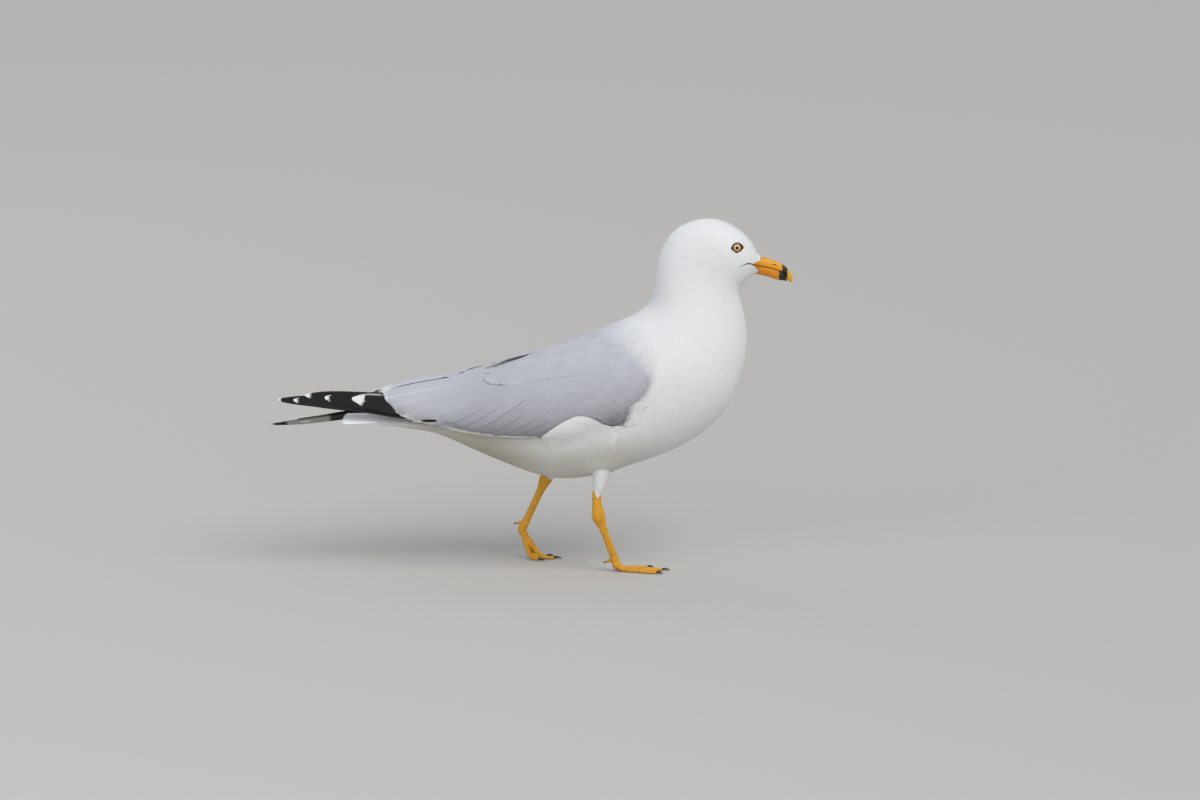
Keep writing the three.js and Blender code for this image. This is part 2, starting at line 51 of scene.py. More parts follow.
# The numbers below are in the millimetres of the bird's source, whose x axis starts under the body.
eyeLow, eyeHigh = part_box("eye_right")
sourceEyeX = 132.4
shiftX = (eyeLow.x + eyeHigh.x) / 2 - sourceEyeX * mm
origin = np.array([shiftX, 0.0, 0.0])


def place(points):
    return np.asarray(points, float) * mm + origin


def rawOf(points):
    return (points - origin) / mm


def axesOf(points):
    return np.moveaxis(points, -1, 0)


def mixed(low, high, share):
    return low + (high - low) * share


def ramp(value, start, end):
    # From 0 at the start to 1 at the end.
    return np.clip((value - start) / (end - start), 0, 1)


def bell(value, width):
    # 1 at 0, falling off to both sides.
    return np.exp(-((value / width) ** 2))


def unitOf(vectors):
    return vectors / np.linalg.norm(vectors, axis=-1, keepdims=True)


def ringAngles(sides):
    return 2 * np.pi * np.arange(sides) / sides


def ringRays(angles, first, second):
    return np.cos(angles)[None, :, None] * first[:, None] + np.sin(angles)[None, :, None] * second[:, None]


def newMaterial(name):
    material = bpy.data.materials.new(name)
    material.use_nodes = True
    return material, material.node_tree.nodes["Principled BSDF"]


def setInputs(node, values):
    for key, value in values.items():
        node.inputs[key].default_value = value


# ---- camera, light and floor ----


def addCamera():
    settings = {"aim": (0, 0, 165), "elevation": 12.0, "distance": 8.0, "width": 1.164}
    data = bpy.data.cameras.new("camera")
    camera = bpy.data.objects.new("camera", data)
    scene.collection.objects.link(camera)
    tilt = math.radians(settings["elevation"])
    aim = Vector(place(settings["aim"]))
    back = Vector((0, -math.cos(tilt), math.sin(tilt)))
    camera.location = aim + back * settings["distance"]
    camera.rotation_euler = (-back).to_track_quat("-Z", "Y").to_euler()
    data.lens = data.sensor_width * settings["distance"] / settings["width"]
    data.clip_end = 60
    scene.camera = camera


def addLight(name, kind, azimuth, elevation, distance, height, **values):
    data = bpy.data.lights.new(name, kind)
    if kind == "AREA":
        data.shape = "DISK"
    for key, value in values.items():
        setattr(data, key, value)
    light = bpy.data.objects.new(name, data)
    scene.collection.objects.link(light)
    turn, tilt = math.radians(azimuth), math.radians(elevation)
    away = Vector((math.sin(turn) * math.cos(tilt), -math.cos(turn) * math.cos(tilt), math.sin(tilt)))
    light.location = Vector((0, 0, height)) + away * distance
    light.rotation_euler = away.to_track_quat("Z", "Y").to_euler()


def addStage():
    bpy.ops.mesh.primitive_plane_add(size=30)
    floor = bpy.context.object
    floor.name = "floor"
    material, shader = newMaterial("floor")
    setInputs(shader, {"Base Color": (0.52, 0.495, 0.455, 1), "Roughness": 0.9})
    floor.data.materials.append(material)
    world = bpy.data.worlds.new("studio")
    scene.world = world
    world.use_nodes = True
    setInputs(world.node_tree.nodes["Background"], {"Color": (0.80, 0.87, 1.0, 1), "Strength": 0.56})
    keyAngle, warm = math.radians(40), (1.0, 0.99, 0.97)
    addLight("keyLight", "SUN", 44, 50, 3, 0, angle=keyAngle, energy=1.56, color=(1.0, 0.975, 0.94))
    addLight("fillLight", "AREA", -44, 22, 3.0, 0.2, size=1.8, energy=14, color=(0.92, 0.96, 1.0))
    addLight("lowLight", "AREA", -4, 22, 3.0, 0.2, size=1.8, energy=10.5, color=warm)
    addLight("backLight", "AREA", -138, 38, 2.8, 0.2, size=1.5, energy=5, color=warm)
    scene.view_settings.view_transform = "Standard"


addCamera()
addStage()

# ---- meshes ----


def addMesh(name, points, faces, material):
    mesh = bpy.data.meshes.new(name)
    points = np.asarray(points, dtype=np.float32)
    faces = np.asarray(faces, dtype=np.int32)
    mesh.vertices.add(points.size // 3)
    mesh.vertices.foreach_set("co", points.ravel())
    mesh.loops.add(faces.size)
    mesh.loops.foreach_set("vertex_index", faces.ravel())
    mesh.polygons.add(len(faces))
    mesh.polygons.foreach_set("loop_start", np.arange(0, faces.size, faces.shape[1], dtype=np.int32))
    mesh.polygons.foreach_set("use_smooth", np.ones(len(faces), dtype=bool))
    mesh.update(calc_edges=True)
    piece = bpy.data.objects.new(name, mesh)
    scene.collection.objects.link(piece)
    mesh.materials.append(material)
    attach(piece, "root")
    return piece


def addColors(piece, colors):
    colors = np.asarray(colors, dtype=np.float32).reshape(-1, 3)
    full = np.concatenate([colors, np.ones((len(colors), 1), dtype=np.float32)], 1)
    layer = piece.data.attributes.new("tint", "FLOAT_COLOR", "POINT")
    layer.data.foreach_set("color", full.ravel())


def addMap(piece, name, uv):
    loops = np.empty(len(piece.data.loops), dtype=np.int32)
    piece.data.loops.foreach_get("vertex_index", loops)
    layer = piece.data.uv_layers.new(name=name)
    layer.data.foreach_set("uv", np.asarray(uv, dtype=np.float32).reshape(-1, 2)[loops].ravel())


def gridFaces(rows, columns, wraps=True):
    k = np.arange(rows * columns).reshape(rows, columns)
    if wraps:
        k = np.concatenate([k, k[:, :1]], 1)
    return np.stack([k[:-1, :-1], k[:-1, 1:], k[1:, 1:], k[1:, :-1]], -1).reshape(-1, 4)


def vertexRows(piece, key):
    flat = np.empty(len(piece.data.vertices) * 3, dtype=np.float32)
    piece.data.vertices.foreach_get(key, flat)
    return flat.reshape(-1, 3).astype(float)


def pointsOf(piece):
    return vertexRows(piece, "co")


def normalsOf(piece):
    return vertexRows(piece, "normal")


def setPoints(piece, points):
    piece.data.vertices.foreach_set("co", np.asarray(points, dtype=np.float32).ravel())
    piece.data.update()


def selectOnly(*pieces):
    bpy.ops.object.select_all(action="DESELECT")
    for piece in pieces:
        piece.select_set(True)
    bpy.context.view_layer.objects.active = pieces[0]


def joined(name, pieces):
    selectOnly(*pieces)
    bpy.ops.object.join()
    bpy.context.object.name = name
    return bpy.context.object


def joinedCopy(name, nodes, extras=()):
    copies = []
    for node in nodes:
        piece = bpy.data.objects.new(node + "-copy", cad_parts[node].data.copy())
        scene.collection.objects.link(piece)
        copies.append(piece)
    piece = joined(name, [*copies, *extras])
    piece.data.name = name
    piece.data.materials.clear()
    return piece


def applied(piece, kind, **values):
    selectOnly(piece)
    modifier = piece.modifiers.new(kind, kind)
    for key, value in values.items():
        setattr(modifier, key, value)
    bpy.ops.object.modifier_apply(modifier=modifier.name)


def remeshed(name, nodes, voxel, rounds, extras=()):
    piece = joinedCopy(name, nodes, extras)
    applied(piece, "REMESH", mode="VOXEL", voxel_size=voxel * mm, use_smooth_shade=True)
    keepLargest(piece)
    applied(piece, "SMOOTH", factor=0.5, iterations=rounds)
    return piece


def keepLargest(piece):
    selectOnly(piece)
    bpy.ops.mesh.separate(type="LOOSE")
    parts = [o for o in bpy.context.selected_objects if o.type == "MESH"]
    parts.sort(key=lambda o: len(o.data.vertices))
    for extra in parts[:-1]:
        bpy.data.objects.remove(extra)
    if parts[-1] != piece:
        raise RuntimeError("the largest part of " + piece.name + " isn't the piece itself")


def treeOf(piece):
    points = [Vector(p) for p in pointsOf(piece)]
    return BVHTree.FromPolygons(points, [tuple(p.vertices) for p in piece.data.polygons])


def cleaned(piece, gap, fills=False):
    selectOnly(piece)
    bpy.ops.object.mode_set(mode="EDIT")
    bpy.ops.mesh.select_all(action="SELECT")
    if fills:
        bpy.ops.mesh.edge_face_add()
        bpy.ops.mesh.select_all(action="SELECT")
    bpy.ops.mesh.remove_doubles(threshold=gap * mm)
    bpy.ops.mesh.normals_make_consistent(inside=False)
    bpy.ops.object.mode_set(mode="OBJECT")
    return piece


# ---- charts: a surface as a grid of points, along the bird and round it ----


def smoothRows(values, axis, width, wraps):
    reach = int(3 * width) + 1
    taps = np.exp(-0.5 * (np.arange(-reach, reach + 1) / width) ** 2)
    taps /= taps.sum()
    pad = [(0, 0)] * values.ndim
    pad[axis] = (reach, reach)
    padded = np.pad(values, pad, mode="wrap" if wraps else "edge")
    result = np.zeros_like(values)
    for k, tap in enumerate(taps):
        result += tap * np.take(padded, range(k, k + values.shape[axis]), axis=axis)
    return result


def throughPoints(stations, count):
    # A smooth curve through the stations, read at evenly spaced shares of their number.
    stations = np.asarray(stations, float)
    at = np.linspace(0, len(stations) - 1, count)
    first = np.clip(at.astype(int), 0, len(stations) - 2)
    f = (at - first)[:, None]
    pick = lambda k: stations[np.clip(first + k, 0, len(stations) - 1)]
    p0, p1, p2, p3 = pick(-1), pick(0), pick(1), pick(2)
    m1, m2 = (p2 - p0) / 2, (p3 - p1) / 2
    start = (2 * f**3 - 3 * f**2 + 1) * p1 + (f**3 - 2 * f**2 + f) * m1
    return start + (3 * f**2 - 2 * f**3) * p2 + (f**3 - f**2) * m2


class Chart:
    # Along and around both run from 0 to 1. Around starts at the top and first goes down the right side.
    def __init__(self, grid, wraps=True):
        rows, columns = grid.shape[:2]
        self.wraps = wraps
        along = np.gradient(grid, axis=0) * (rows - 1)
        if wraps:
            around = (np.roll(grid, -1, 1) - np.roll(grid, 1, 1)) * columns / 2
        else:
            around = np.gradient(grid, axis=1) * (columns - 1)
        normal = np.cross(along, around)
        normal /= np.linalg.norm(normal, axis=2, keepdims=True) + 1e-12
        self.rows = rows
        self.columns = columns
        self.fields = np.concatenate([grid, along, around, normal], axis=2)

    def read(self, along, around):
        i = np.clip(along, 0, 1) * (self.rows - 1)
        i0 = np.clip(i.astype(int), 0, self.rows - 2)
        fi = (i - i0)[..., None]
        if self.wraps:
            j = (around % 1.0) * self.columns
            j0 = j.astype(int) % self.columns
            j1 = (j0 + 1) % self.columns
            fj = (j - np.floor(j))[..., None]
        else:
            j = np.clip(around, 0, 1) * (self.columns - 1)
            j0 = np.clip(j.astype(int), 0, self.columns - 2)
            j1 = j0 + 1
            fj = (j - j0)[..., None]
        f = self.fields
        top = f[i0, j0] * (1 - fj) + f[i0, j1] * fj
        low = f[i0 + 1, j0] * (1 - fj) + f[i0 + 1, j1] * fj
        both = top * (1 - fi) + low * fi
        return both[..., 0:3], both[..., 3:6], both[..., 6:9], both[..., 9:12]

    def steps(self, along, around, forward, sideways):
        # Chart steps that go so many metres along the body and across it, from given places.
        _, ds, da, _ = self.read(along, around)
        e = (ds * ds).sum(-1)
        g = (da * da).sum(-1)
        h = (ds * da).sum(-1)
        det = e * g - h * h + 1e-12
        unit = ds / np.sqrt(e)[..., None]
        side = da - (da * unit).sum(-1)[..., None] * unit
        side /= np.linalg.norm(side, axis=-1, keepdims=True) + 1e-12
        move = unit * forward[..., None] + side * sideways[..., None]
        ms, ma = (move * ds).sum(-1), (move * da).sum(-1)
        return (g * ms - h * ma) / det, (e * ma - h * ms) / det


def rayChart(tree, centres, ups, sides, columns, inward, blur):
    # Distances from a centre line to the surface, blurred a little, as a chart.
    rows = len(centres)
    reach = 0.3
    distance = np.full((rows, columns), np.nan)
    rays = ringRays(ringAngles(columns), ups, sides)
    for i in range(rows):
        centre = Vector(centres[i])
        for j in range(columns):
            ray = Vector(rays[i, j])
            if inward:
                hit = tree.ray_cast(centre + ray * reach, -ray)
                if hit[0] is not None and hit[3] < reach:
                    distance[i, j] = reach - hit[3]
            else:
                hit = tree.ray_cast(centre, ray)
                if hit[0] is not None:
                    distance[i, j] = hit[3]
    where = np.arange(columns)
    for i in range(rows):
        known = ~np.isnan(distance[i])
        if known.any():
            distance[i] = np.interp(where, where[known], distance[i][known], period=columns)
        else:
            distance[i] = distance[i - 1]
    distance = smoothRows(smoothRows(distance, 0, blur[0], False), 1, blur[1], True)
    return centres[:, None] + rays * distance[..., None]


# ---- skin ----

rightSide = np.array([0.0, -1.0, 0.0])
flesh = ["head", "neck", "trunk", "tail", "wing_right", "wing_left"]

# Top and bottom outline of the body, bill to tail, as [top x, top z, bottom x, bottom z].
bodyOutline = [
    (152.5, 309, 149.8, 289.5),
    (142, 327, 141, 282.5),
    (108, 345, 134.5, 272.5),
    (70, 332.5, 138.5, 257),
    (54, 296, 143, 230),
    (50.5, 266, 138, 194),
    (28, 247.5, 114, 146),
    (-14, 231, 54, 109.5),
    (-60, 210, -15, 89),
    (-102, 182, -80, 99),
    (-143, 158, -140, 125),
    (-184, 151.5, -184, 137),
    (-226, 150, -226, 143),
]


def blob(centre, radii):
    where = place(np.array(centre))
    bpy.ops.mesh.primitive_uv_sphere_add(segments=32, ring_count=20, radius=mm, location=where)
    piece = bpy.context.object
    piece.scale = radii
    bpy.ops.object.transform_apply(location=True, rotation=True, scale=True)
    return piece


def bodyChart():
    parts = ["head", "neck", "trunk", "tail", "eye_right", "eye_left"]
    columns = 180
    # The plumage swells a little over the top of each thigh.
    swells = [blob((1.5, -25.5, 107), (19, 12.5, 13)), blob((-36, 25, 108), (18, 12, 12))]
    solid = remeshed("bodySolid", parts, 2.2, 10, swells)
    topX, topZ, lowX, lowZ = throughPoints(bodyOutline, 260).T
    top = place(np.stack([topX, 0 * topX, topZ], 1))
    low = place(np.stack([lowX, 0 * topX, lowZ], 1))
    sides = np.tile(rightSide, (len(top), 1))
    grid = rayChart(treeOf(solid), (top + low) / 2, unitOf(top - low), sides, columns, False, (2.5, 3.0))
    bpy.data.objects.remove(solid)
    # A few rows in front, which turn in over the rim of the face to the bill.
    angle = ringAngles(columns)
    ring = np.stack([1.3 * np.cos(angle), -5.4 * np.sin(angle), 8.0 * np.cos(angle)], -1)
    bill = place(np.array([154.6, 0, 298.2]) + ring)
    skipped, turned = 4, 8
    share = (np.arange(turned) / turned)[:, None, None]
    front = bill[None] * (1 - share) + grid[skipped][None] * share
    return Chart(smoothRows(np.concatenate([front, grid[skipped:]]), 0, 1.2, False))


def grooveAt(points):
    # The hollow along the back between the two folded wings, where the right one lies a little lower.
    x, y, z = axesOf(rawOf(points))
    depth = np.interp(x, [-224, -150, -120, -104, -88, -74, -56], [1, 2, 4, 8, 9.5, 7, 0])
    half = np.interp(x, [-215, -150, -104, -75], [5, 7, 9.5, 9])
    middle = np.interp(x, [-135, -110, -88, -66], [0, -3, -4, -2])
    across = np.clip(1 - ((y - middle) / half) ** 2, 0, 1) ** 1.5
    return depth * mm * across * ramp(z, 152, 162)


wingSpan = (74, -234)


def alongWing(x):
    return (wingSpan[0] - x) / (wingSpan[0] - wingSpan[1])


def wingChart():
    # The outer envelope of trunk and folded wings, in upright sections from the shoulders to the tertials.
    solid = remeshed("wingSolid", ["neck", "trunk", "wing_right", "wing_left"], 2.0, 6)
    x = np.linspace(wingSpan[0], wingSpan[1], 270)
    z = np.interp(x, [-211, -160, -100, 0, 74], [166, 159, 155, 165, 192])
    centres = place(np.stack([x, 0 * x, z], 1))
    ups = np.tile([0.0, 0.0, 1.0], (len(x), 1))
    sides = np.tile(rightSide, (len(x), 1))
    grid = rayChart(treeOf(solid), centres, ups, sides, 240, True, (4.0, 3.5))
    bpy.data.objects.remove(solid)
    # Past the ends of the solids it goes on straight, for the tips of the long feathers.
    solidEnd, run = -202, 25
    last = int(np.searchsorted(-x, -solidEnd))
    ahead = (grid[last] - grid[last - run]) / run
    for i in range(last + 1, len(x)):
        grid[i] = grid[last] + ahead * (i - last)
    grid[..., 2] -= grooveAt(grid)
    return Chart(grid)


def depthAt(points):
    # How deep the skin lies under the outline: least on the face, most on breast and belly.
    x, _, z = axesOf(rawOf(points))
    face = ramp(x, 112, 148) * ramp(z, 272, 288)
    return (0.65 - 0.2 * face + 0.35 * ramp(z, 300, 240) * (1 - ramp(x, -90, -130))) * mm


body = bodyChart()
print("body chart made")
wing = wingChart()
print("wing chart made")

# ---- plumage ----


def newNode(material, kind, inputs=None, **values):
    node = material.node_tree.nodes.new(kind)
    for key, value in values.items():
        setattr(node, key, value)
    setInputs(node, inputs or {})
    return node


def barbGroup():
    # Fine slanted ridges to both sides of a vane's shaft, from the vane's own map, in millimetres.
    group = bpy.data.node_groups.new("barbs", "ShaderNodeTree")
    group.interface.new_socket("Spacing", in_out="INPUT", socket_type="NodeSocketFloat")
    group.interface.new_socket("Ridge", in_out="OUTPUT", socket_type="NodeSocketFloat")
    nodes, links = group.nodes, group.links
    start, end = nodes.new("NodeGroupInput"), nodes.new("NodeGroupOutput")
    uv = nodes.new("ShaderNodeUVMap")
    uv.uv_map = "Vane"
    split = nodes.new("ShaderNodeSeparateXYZ")
    links.new(uv.outputs["UV"], split.inputs[0])
    noise = nodes.new("ShaderNodeTexNoise")
    noise.inputs["Scale"].default_value = 0.35
    links.new(uv.outputs["UV"], noise.inputs["Vector"])

    def calc(operation, *values):
        node = nodes.new("ShaderNodeMath")
        node.operation = operation
        for socket, value in zip(node.inputs, values):
            if isinstance(value, (int, float)):
                socket.default_value = value
            else:
                links.new(value, socket)
        return node.outputs[0]

    away = calc("ABSOLUTE", split.outputs["Y"])
    slanted = calc("SUBTRACT", split.outputs["X"], calc("MULTIPLY", away, 1.25))
    wander = calc("MULTIPLY", noise.outputs["Fac"], 2.2)
    turns = calc("DIVIDE", calc("ADD", slanted, wander), start.outputs["Spacing"])
    wave = calc("SINE", calc("MULTIPLY", turns, 2 * math.pi))
    links.new(calc("MULTIPLY_ADD", wave, 0.5, 0.5), end.inputs["Ridge"])
    return group


barbs = barbGroup()


def plumage(name, spacing=0.35, depth=0.05, roughness=0.72, sheen=0.25, shade=0.08, gloss=0.3):
    material, shader = newMaterial(name)
    links = material.node_tree.links
    surface = {"Roughness": roughness, "Sheen Weight": sheen, "Sheen Roughness": 0.5}
    setInputs(shader, {**surface, "Specular IOR Level": gloss})
    tint = newNode(material, "ShaderNodeAttribute", attribute_name="tint")
    ridge = newNode(material, "ShaderNodeGroup", node_tree=barbs)
    setInputs(ridge, {"Spacing": spacing})
    darker = newNode(material, "ShaderNodeMix", {0: shade}, data_type="RGBA", blend_type="MULTIPLY")
    links.new(tint.outputs["Color"], darker.inputs[6])
    links.new(ridge.outputs["Ridge"], darker.inputs[7])
    links.new(darker.outputs[2], shader.inputs["Base Color"])
    bump = newNode(material, "ShaderNodeBump", {"Strength": 0.35, "Distance": depth * mm})
    links.new(ridge.outputs["Ridge"], bump.inputs["Height"])
    links.new(bump.outputs["Normal"], shader.inputs["Normal"])
    return material


white = np.array([0.80, 0.80, 0.785])
grey = np.array([0.470, 0.470, 0.500])

# Front edge of the grey of wing and mantle, as x over the height z.
greyEdgeZ = [138, 146, 149, 158, 171, 180, 195, 210, 220, 230, 240, 250, 262]
greyEdgeX = [-40, 6, 21, 27, 31, 43, 52, 54, 52, 47, 41, 36, 34]


def greyEdge(z):
    return np.interp(z, greyEdgeZ, greyEdgeX)


def isGrey(raw):
    x, _, z = axesOf(raw)
    return (x < greyEdge(z)) & (z > np.interp(x, [-160, -60, 10], [148, 140, 143])) & (x > -226)


def greyShare(raw):
    # Sharp along the wing's front edge, and a long soft change from mantle to neck.
    x, _, z = axesOf(raw)
    softness = np.interp(z, [190, 204, 220, 234, 262], [6, 14, 32, 52, 56])
    change = np.clip((greyEdge(z) + 3 - x) / softness, 0, 1)
    above = ramp(z - np.interp(x, [-190, -160, -60, 10], [160, 146, 138, 141]), 0, 4)
    return change * above * ramp(x, -228, -225)


def greyAt(raw):
    # The grey carries painted shade: palest along the back and darkest along the lower edge of the wing. It
    # is also a little lighter towards the tertials.
    x, _, z = axesOf(raw)
    heights = [140, 150, 160, 172, 195, 215, 240]
    shade = np.interp(z, heights, [0.54, 0.66, 0.80, 0.89, 0.98, 1.06, 1.12])
    behind = ramp(x, -120, -180) * ramp(z, 150, 160)
    # Painted shade in the hollow at the lower front of the wing, between the flank's puff and the breast.
    hollow = ramp(x, -2, 12) * ramp(z, 172, 156)
    return grey * (shade + 0.14 * behind - 0.22 * hollow)[..., None]


def whiteAt(raw):
    # White, with painted shade that makes it a little duller and warmer under the belly, and painted shade
    # with some dirt about the vent.
    x, _, z = axesOf(raw)
    low = ramp(z, 142, 114) * ramp(x, 75, 15)
    # Painted shade under the belly; about the vent, painted shade together with some dirt.
    level = np.interp(x, [-200, -160, -100], [145.5, 148, 150])
    vent = ramp(x, -50, -110) * ramp(level - z, 0, 5)
    paintedShadeAndDirt = low[..., None] * np.array([0.25, 0.275, 0.33]) + vent[..., None] * np.array([0.26, 0.29, 0.36])
    return white * (1 - paintedShadeAndDirt)


def tintAt(points):
    raw = rawOf(points)
    share = greyShare(raw)[..., None]
    return whiteAt(raw) * (1 - share) + greyAt(raw) * share


def scatter(chart, spacingAt, keepAt, amount):
    # Places on a chart, spread evenly, with the spacing that each place asks for.
    rows, columns = 120, 90
    s, a = np.meshgrid((np.arange(rows) + 0.5) / rows, (np.arange(columns) + 0.5) / columns, indexing="ij")
    points, ds, da, _ = chart.read(s, a)
    area = np.linalg.norm(np.cross(ds, da), axis=-1)
    weight = (area / spacingAt(s, a, points) ** 2).ravel()
    picks = rng.choice(rows * columns, size=amount, p=weight / weight.sum())
    s = (picks // columns + rng.random(amount)) / rows
    a = (picks % columns + rng.random(amount)) / columns
    points = chart.read(s, a)[0]
    wanted = keepAt(s, a, points)
    s, a, points = s[wanted], a[wanted], points[wanted]
    gap = spacingAt(s, a, points)
    tree = kdtree.KDTree(len(points))
    for k, point in enumerate(points):
        tree.insert(point, k)
    tree.balance()
    free = np.ones(len(points), dtype=bool)
    for k in range(len(points)):
        if free[k]:
            for _, other, _ in tree.find_range(points[k], gap[k]):
                if other != k:
                    free[other] = False
    return s[free], a[free], points[free]


def headingOf(chart, s, a, direction):
    # The angle on the chart, from backwards towards larger around, of a direction in space.
    _, ds, da, _ = chart.read(s, a)
    unit = unitOf(ds)
    side = da - (da * unit).sum(-1, keepdims=True) * unit
    side /= np.linalg.norm(side, axis=-1, keepdims=True) + 1e-12
    return np.arctan2((direction * side).sum(-1), (direction * unit).sum(-1))


def slanting(slope):
    # Backwards and down by an angle, as seen from the side.
    return np.stack([-np.cos(slope), 0 * slope, -np.sin(slope)], -1)


def tracedLines(chart, along, around, heading, length, u, curl=0.0, flow=None):
    s = np.empty((len(along), len(u)))
    a = np.empty((len(along), len(u)))
    s[:, 0], a[:, 0] = along, around
    bend = rng.normal(0, curl, len(along)) if curl else 0.0
    for k in range(1, len(u)):
        step = length * (u[k] - u[k - 1])
        turn = heading + bend * u[k]
        if flow is not None:
            turn = turn + flow(s[:, k - 1], a[:, k - 1])
        ds, da = chart.steps(s[:, k - 1], a[:, k - 1], np.cos(turn) * step, np.sin(turn) * step)
        s[:, k], a[:, k] = s[:, k - 1] + ds, a[:, k - 1] + da
    return s, a


def sideSpots(x, z):
    # Chart places on the right wing, from x and z in the source's millimetres.
    top, bottom, halvings = 0.012, 0.488, 26
    s = alongWing(x)
    low, high = np.full(s.shape, top), np.full(s.shape, bottom)
    for _ in range(halvings):
        middle = (low + high) / 2
        above = wing.read(s, middle)[0][..., 2] / mm > z
        low, high = np.where(above, middle, low), np.where(above, high, middle)
    return s, low


def vaneFaces(count, rows, columns, closed):
    k = np.arange(rows * columns).reshape(rows, columns)
    one = gridFaces(rows, columns, False)
    size = k.size
    if closed:
        rim = np.concatenate([k[0, :-1], k[:-1, -1], k[-1, :0:-1], k[:0:-1, 0]])
        following = np.roll(rim, -1)
        walls = np.stack([rim, rim + size, following + size, following], -1)
        one = np.concatenate([one, one[:, ::-1] + size, walls])
        size *= 2
    return (one[None] + (np.arange(count) * size)[:, None, None]).reshape(-1, 4)


def layVanes(name, chart, material, lines, vanes, shape):
    # Vanes that follow a chart. Each has a centre line on it, a length, a width and heights of base and tip.
    s, a = lines
    count, rows = s.shape
    columns = shape["columns"]
    u = shape["u"]
    v = np.linspace(-1, 1, columns)
    length, width = vanes["length"][:, None], vanes["width"][:, None]
    middle, ds, da, _ = chart.read(s, a)
    tangent = np.gradient(middle, axis=1)
    heading = headingOf(chart, s, a, tangent)
    outline = shape["base"] + (1 - shape["base"]) * np.sin(np.pi * np.clip(u / shape["widest"], 0, 1) / 2)
    beyond = np.clip((u - shape["widest"]) / (1 - shape["widest"]), 0, 1)
    outline = outline * (1 - shape["taper"] * beyond ** shape.get("taperPower", 2))
    half = 0.5 * width * outline[None]
    rounding = shape["rounding"] * (1 - np.sqrt(1 - 0.96 * v**2))
    fray = rng.normal(0, shape["fray"], (count, 1, columns)) * (u**3)[None, :, None]
    back = rounding[None, None] * width[..., None] * (u ** shape.get("tipOnly", 2))[None, :, None]
    forward = length[..., None] * fray - back
    side = vanes.get("side", 1.0)
    across = half[..., None] * (v[None, None] + shape.get("lopsided", 0.0) * (1 - v**2)[None, None])
    turn = heading[..., None]
    moveOn = np.cos(turn) * forward - np.sin(turn) * across
    moveOver = np.sin(turn) * forward + np.cos(turn) * across
    full = np.ones(columns)
    ds, da = chart.steps(s[..., None] * full, a[..., None] * full, moveOn, moveOver)
    points, _, _, normals = chart.read(s[..., None] + ds, a[..., None] + da)
    slope = shape.get("slope", 0.0)
    rise = ((1 - slope) * (1 - (1 - u) ** shape.get("lie", 1.0)) + slope * u)[None, :, None]
    if "heights" in vanes:
        height = vanes["heights"][..., None]
    else:
        height = mixed(vanes["low"][:, None, None], vanes["high"][:, None, None], rise)
    bow = shape["camber"] * width[..., None] * (1 - v[None, None] ** 2)
    tilt = shape.get("tilt", 0.0) * side * across * rise
    points = points + normals * (height + bow + tilt)[..., None]
    tints = vanes["tint"]
    if tints.ndim == 2:
        tints = tints[:, None, None]
    tints = np.broadcast_to(tints, points.shape)
    # Each vane has a small patch of the map, at its root's place on the chart.
    patchSize, edge = 0.003, 0.01
    patch = patchSize * np.stack(np.broadcast_arrays(u[:, None] - 0.5, v[None] / 2), -1)
    root = np.stack([s[:, 0], a[:, 0] % 1.0], -1) * 0.98 + edge
    baked = root[:, None, None] + patch[None]
    own = np.stack(np.broadcast_arrays(u[None, :, None] * length[..., None], across), -1) / mm
    thickness = shape.get("thickness", 0.0)
    closed = thickness > 0
    if closed:
        thin = thickness * np.sqrt(1 - 0.9 * v**2)[None, None] * (1 - 0.5 * u[None, :, None])
        under = points - normals * thin[..., None]
        points = np.stack([points, under], 1)
        below = vanes.get("tintBelow", tints)
        tints = np.stack([tints, below], 1)
        baked, own = np.stack([baked, baked], 1), np.stack([own, own], 1)
    faces = vaneFaces(count, rows, columns, closed)
    a0, a1, a2 = points.reshape(-1, 3)[faces[0, :3]]
    top = normals.reshape(count, rows, columns, 3)[0, 0, 0]
    if np.dot(np.cross(a1 - a0, a2 - a1), top) < 0:
        faces = faces[:, ::-1]
    piece = addMesh(name, points, faces, material)
    addColors(piece, np.clip(tints, 0, 1))
    addMap(piece, "OFBake", baked)
    addMap(piece, "Vane", own)
    softness = shape.get("soft", 0.0)
    if softness and not closed:
        shading = normalsOf(piece) * (1 - softness) + normals.reshape(-1, 3) * softness
        shading /= np.linalg.norm(shading, axis=1, keepdims=True)
        piece.data.normals_split_custom_set_from_vertices(shading.tolist())
    print(name, count, "vanes", len(piece.data.polygons) * 2, "triangles", flush=True)
    return piece


# ---- skin ----

coatMaterial = plumage("contourFeathers")

# Thighs inside the plumage, as [x, y, z, radius at the coat's surface] from the knee down.
thighLines = {
    "right": [
        (5, -13, 120, 16),
        (3.6, -19, 111, 13),
        (1.3, -25.6, 102, 9.2),
        (0.3, -29.8, 93.5, 7.3),
        (-0.9, -31.7, 86.5, 5.6),
        (-2.7, -32, 80, 4.1),
        (-3.5, -32, 73.5, 3.9),
    ],
    "left": [
        (-27, 13, 120, 16),
        (-31, 19, 112, 13.5),
        (-36, 26, 104, 10.5),
        (-41, 31, 95.5, 8.2),
        (-45.5, 33.6, 88.5, 6.2),
        (-48.5, 34, 84, 5.0),
        (-50.5, 34, 79.5, 4.6),
    ],
}


def thighRings(suffix, count, sides, inset):
    line = throughPoints(thighLines[suffix][: -1 if inset else None], count)
    axis = unitOf(np.gradient(line[:, :3], axis=0))
    ahead = unitOf(np.array([1.0, 0, 0]) - axis * axis[:, 0:1])
    ring = ringRays(ringAngles(sides), ahead, np.cross(axis, ahead))
    return line[:, None, :3] + ring * (line[:, None, 3:4] - inset)


def thighTube(suffix, inset):
    rings = thighRings(suffix, 20, 28, inset)
    ends = [mixed(ring.mean(0), ring, 0.02) for ring in (rings[0], rings[-1])]
    full = np.concatenate([ends[:1], rings, ends[1:]])
    bare = bpy.data.materials.new("bare")
    piece = addMesh("thighTube-" + suffix, place(full), gridFaces(*full.shape[:2]), bare)
    return cleaned(piece, 0.3, True)


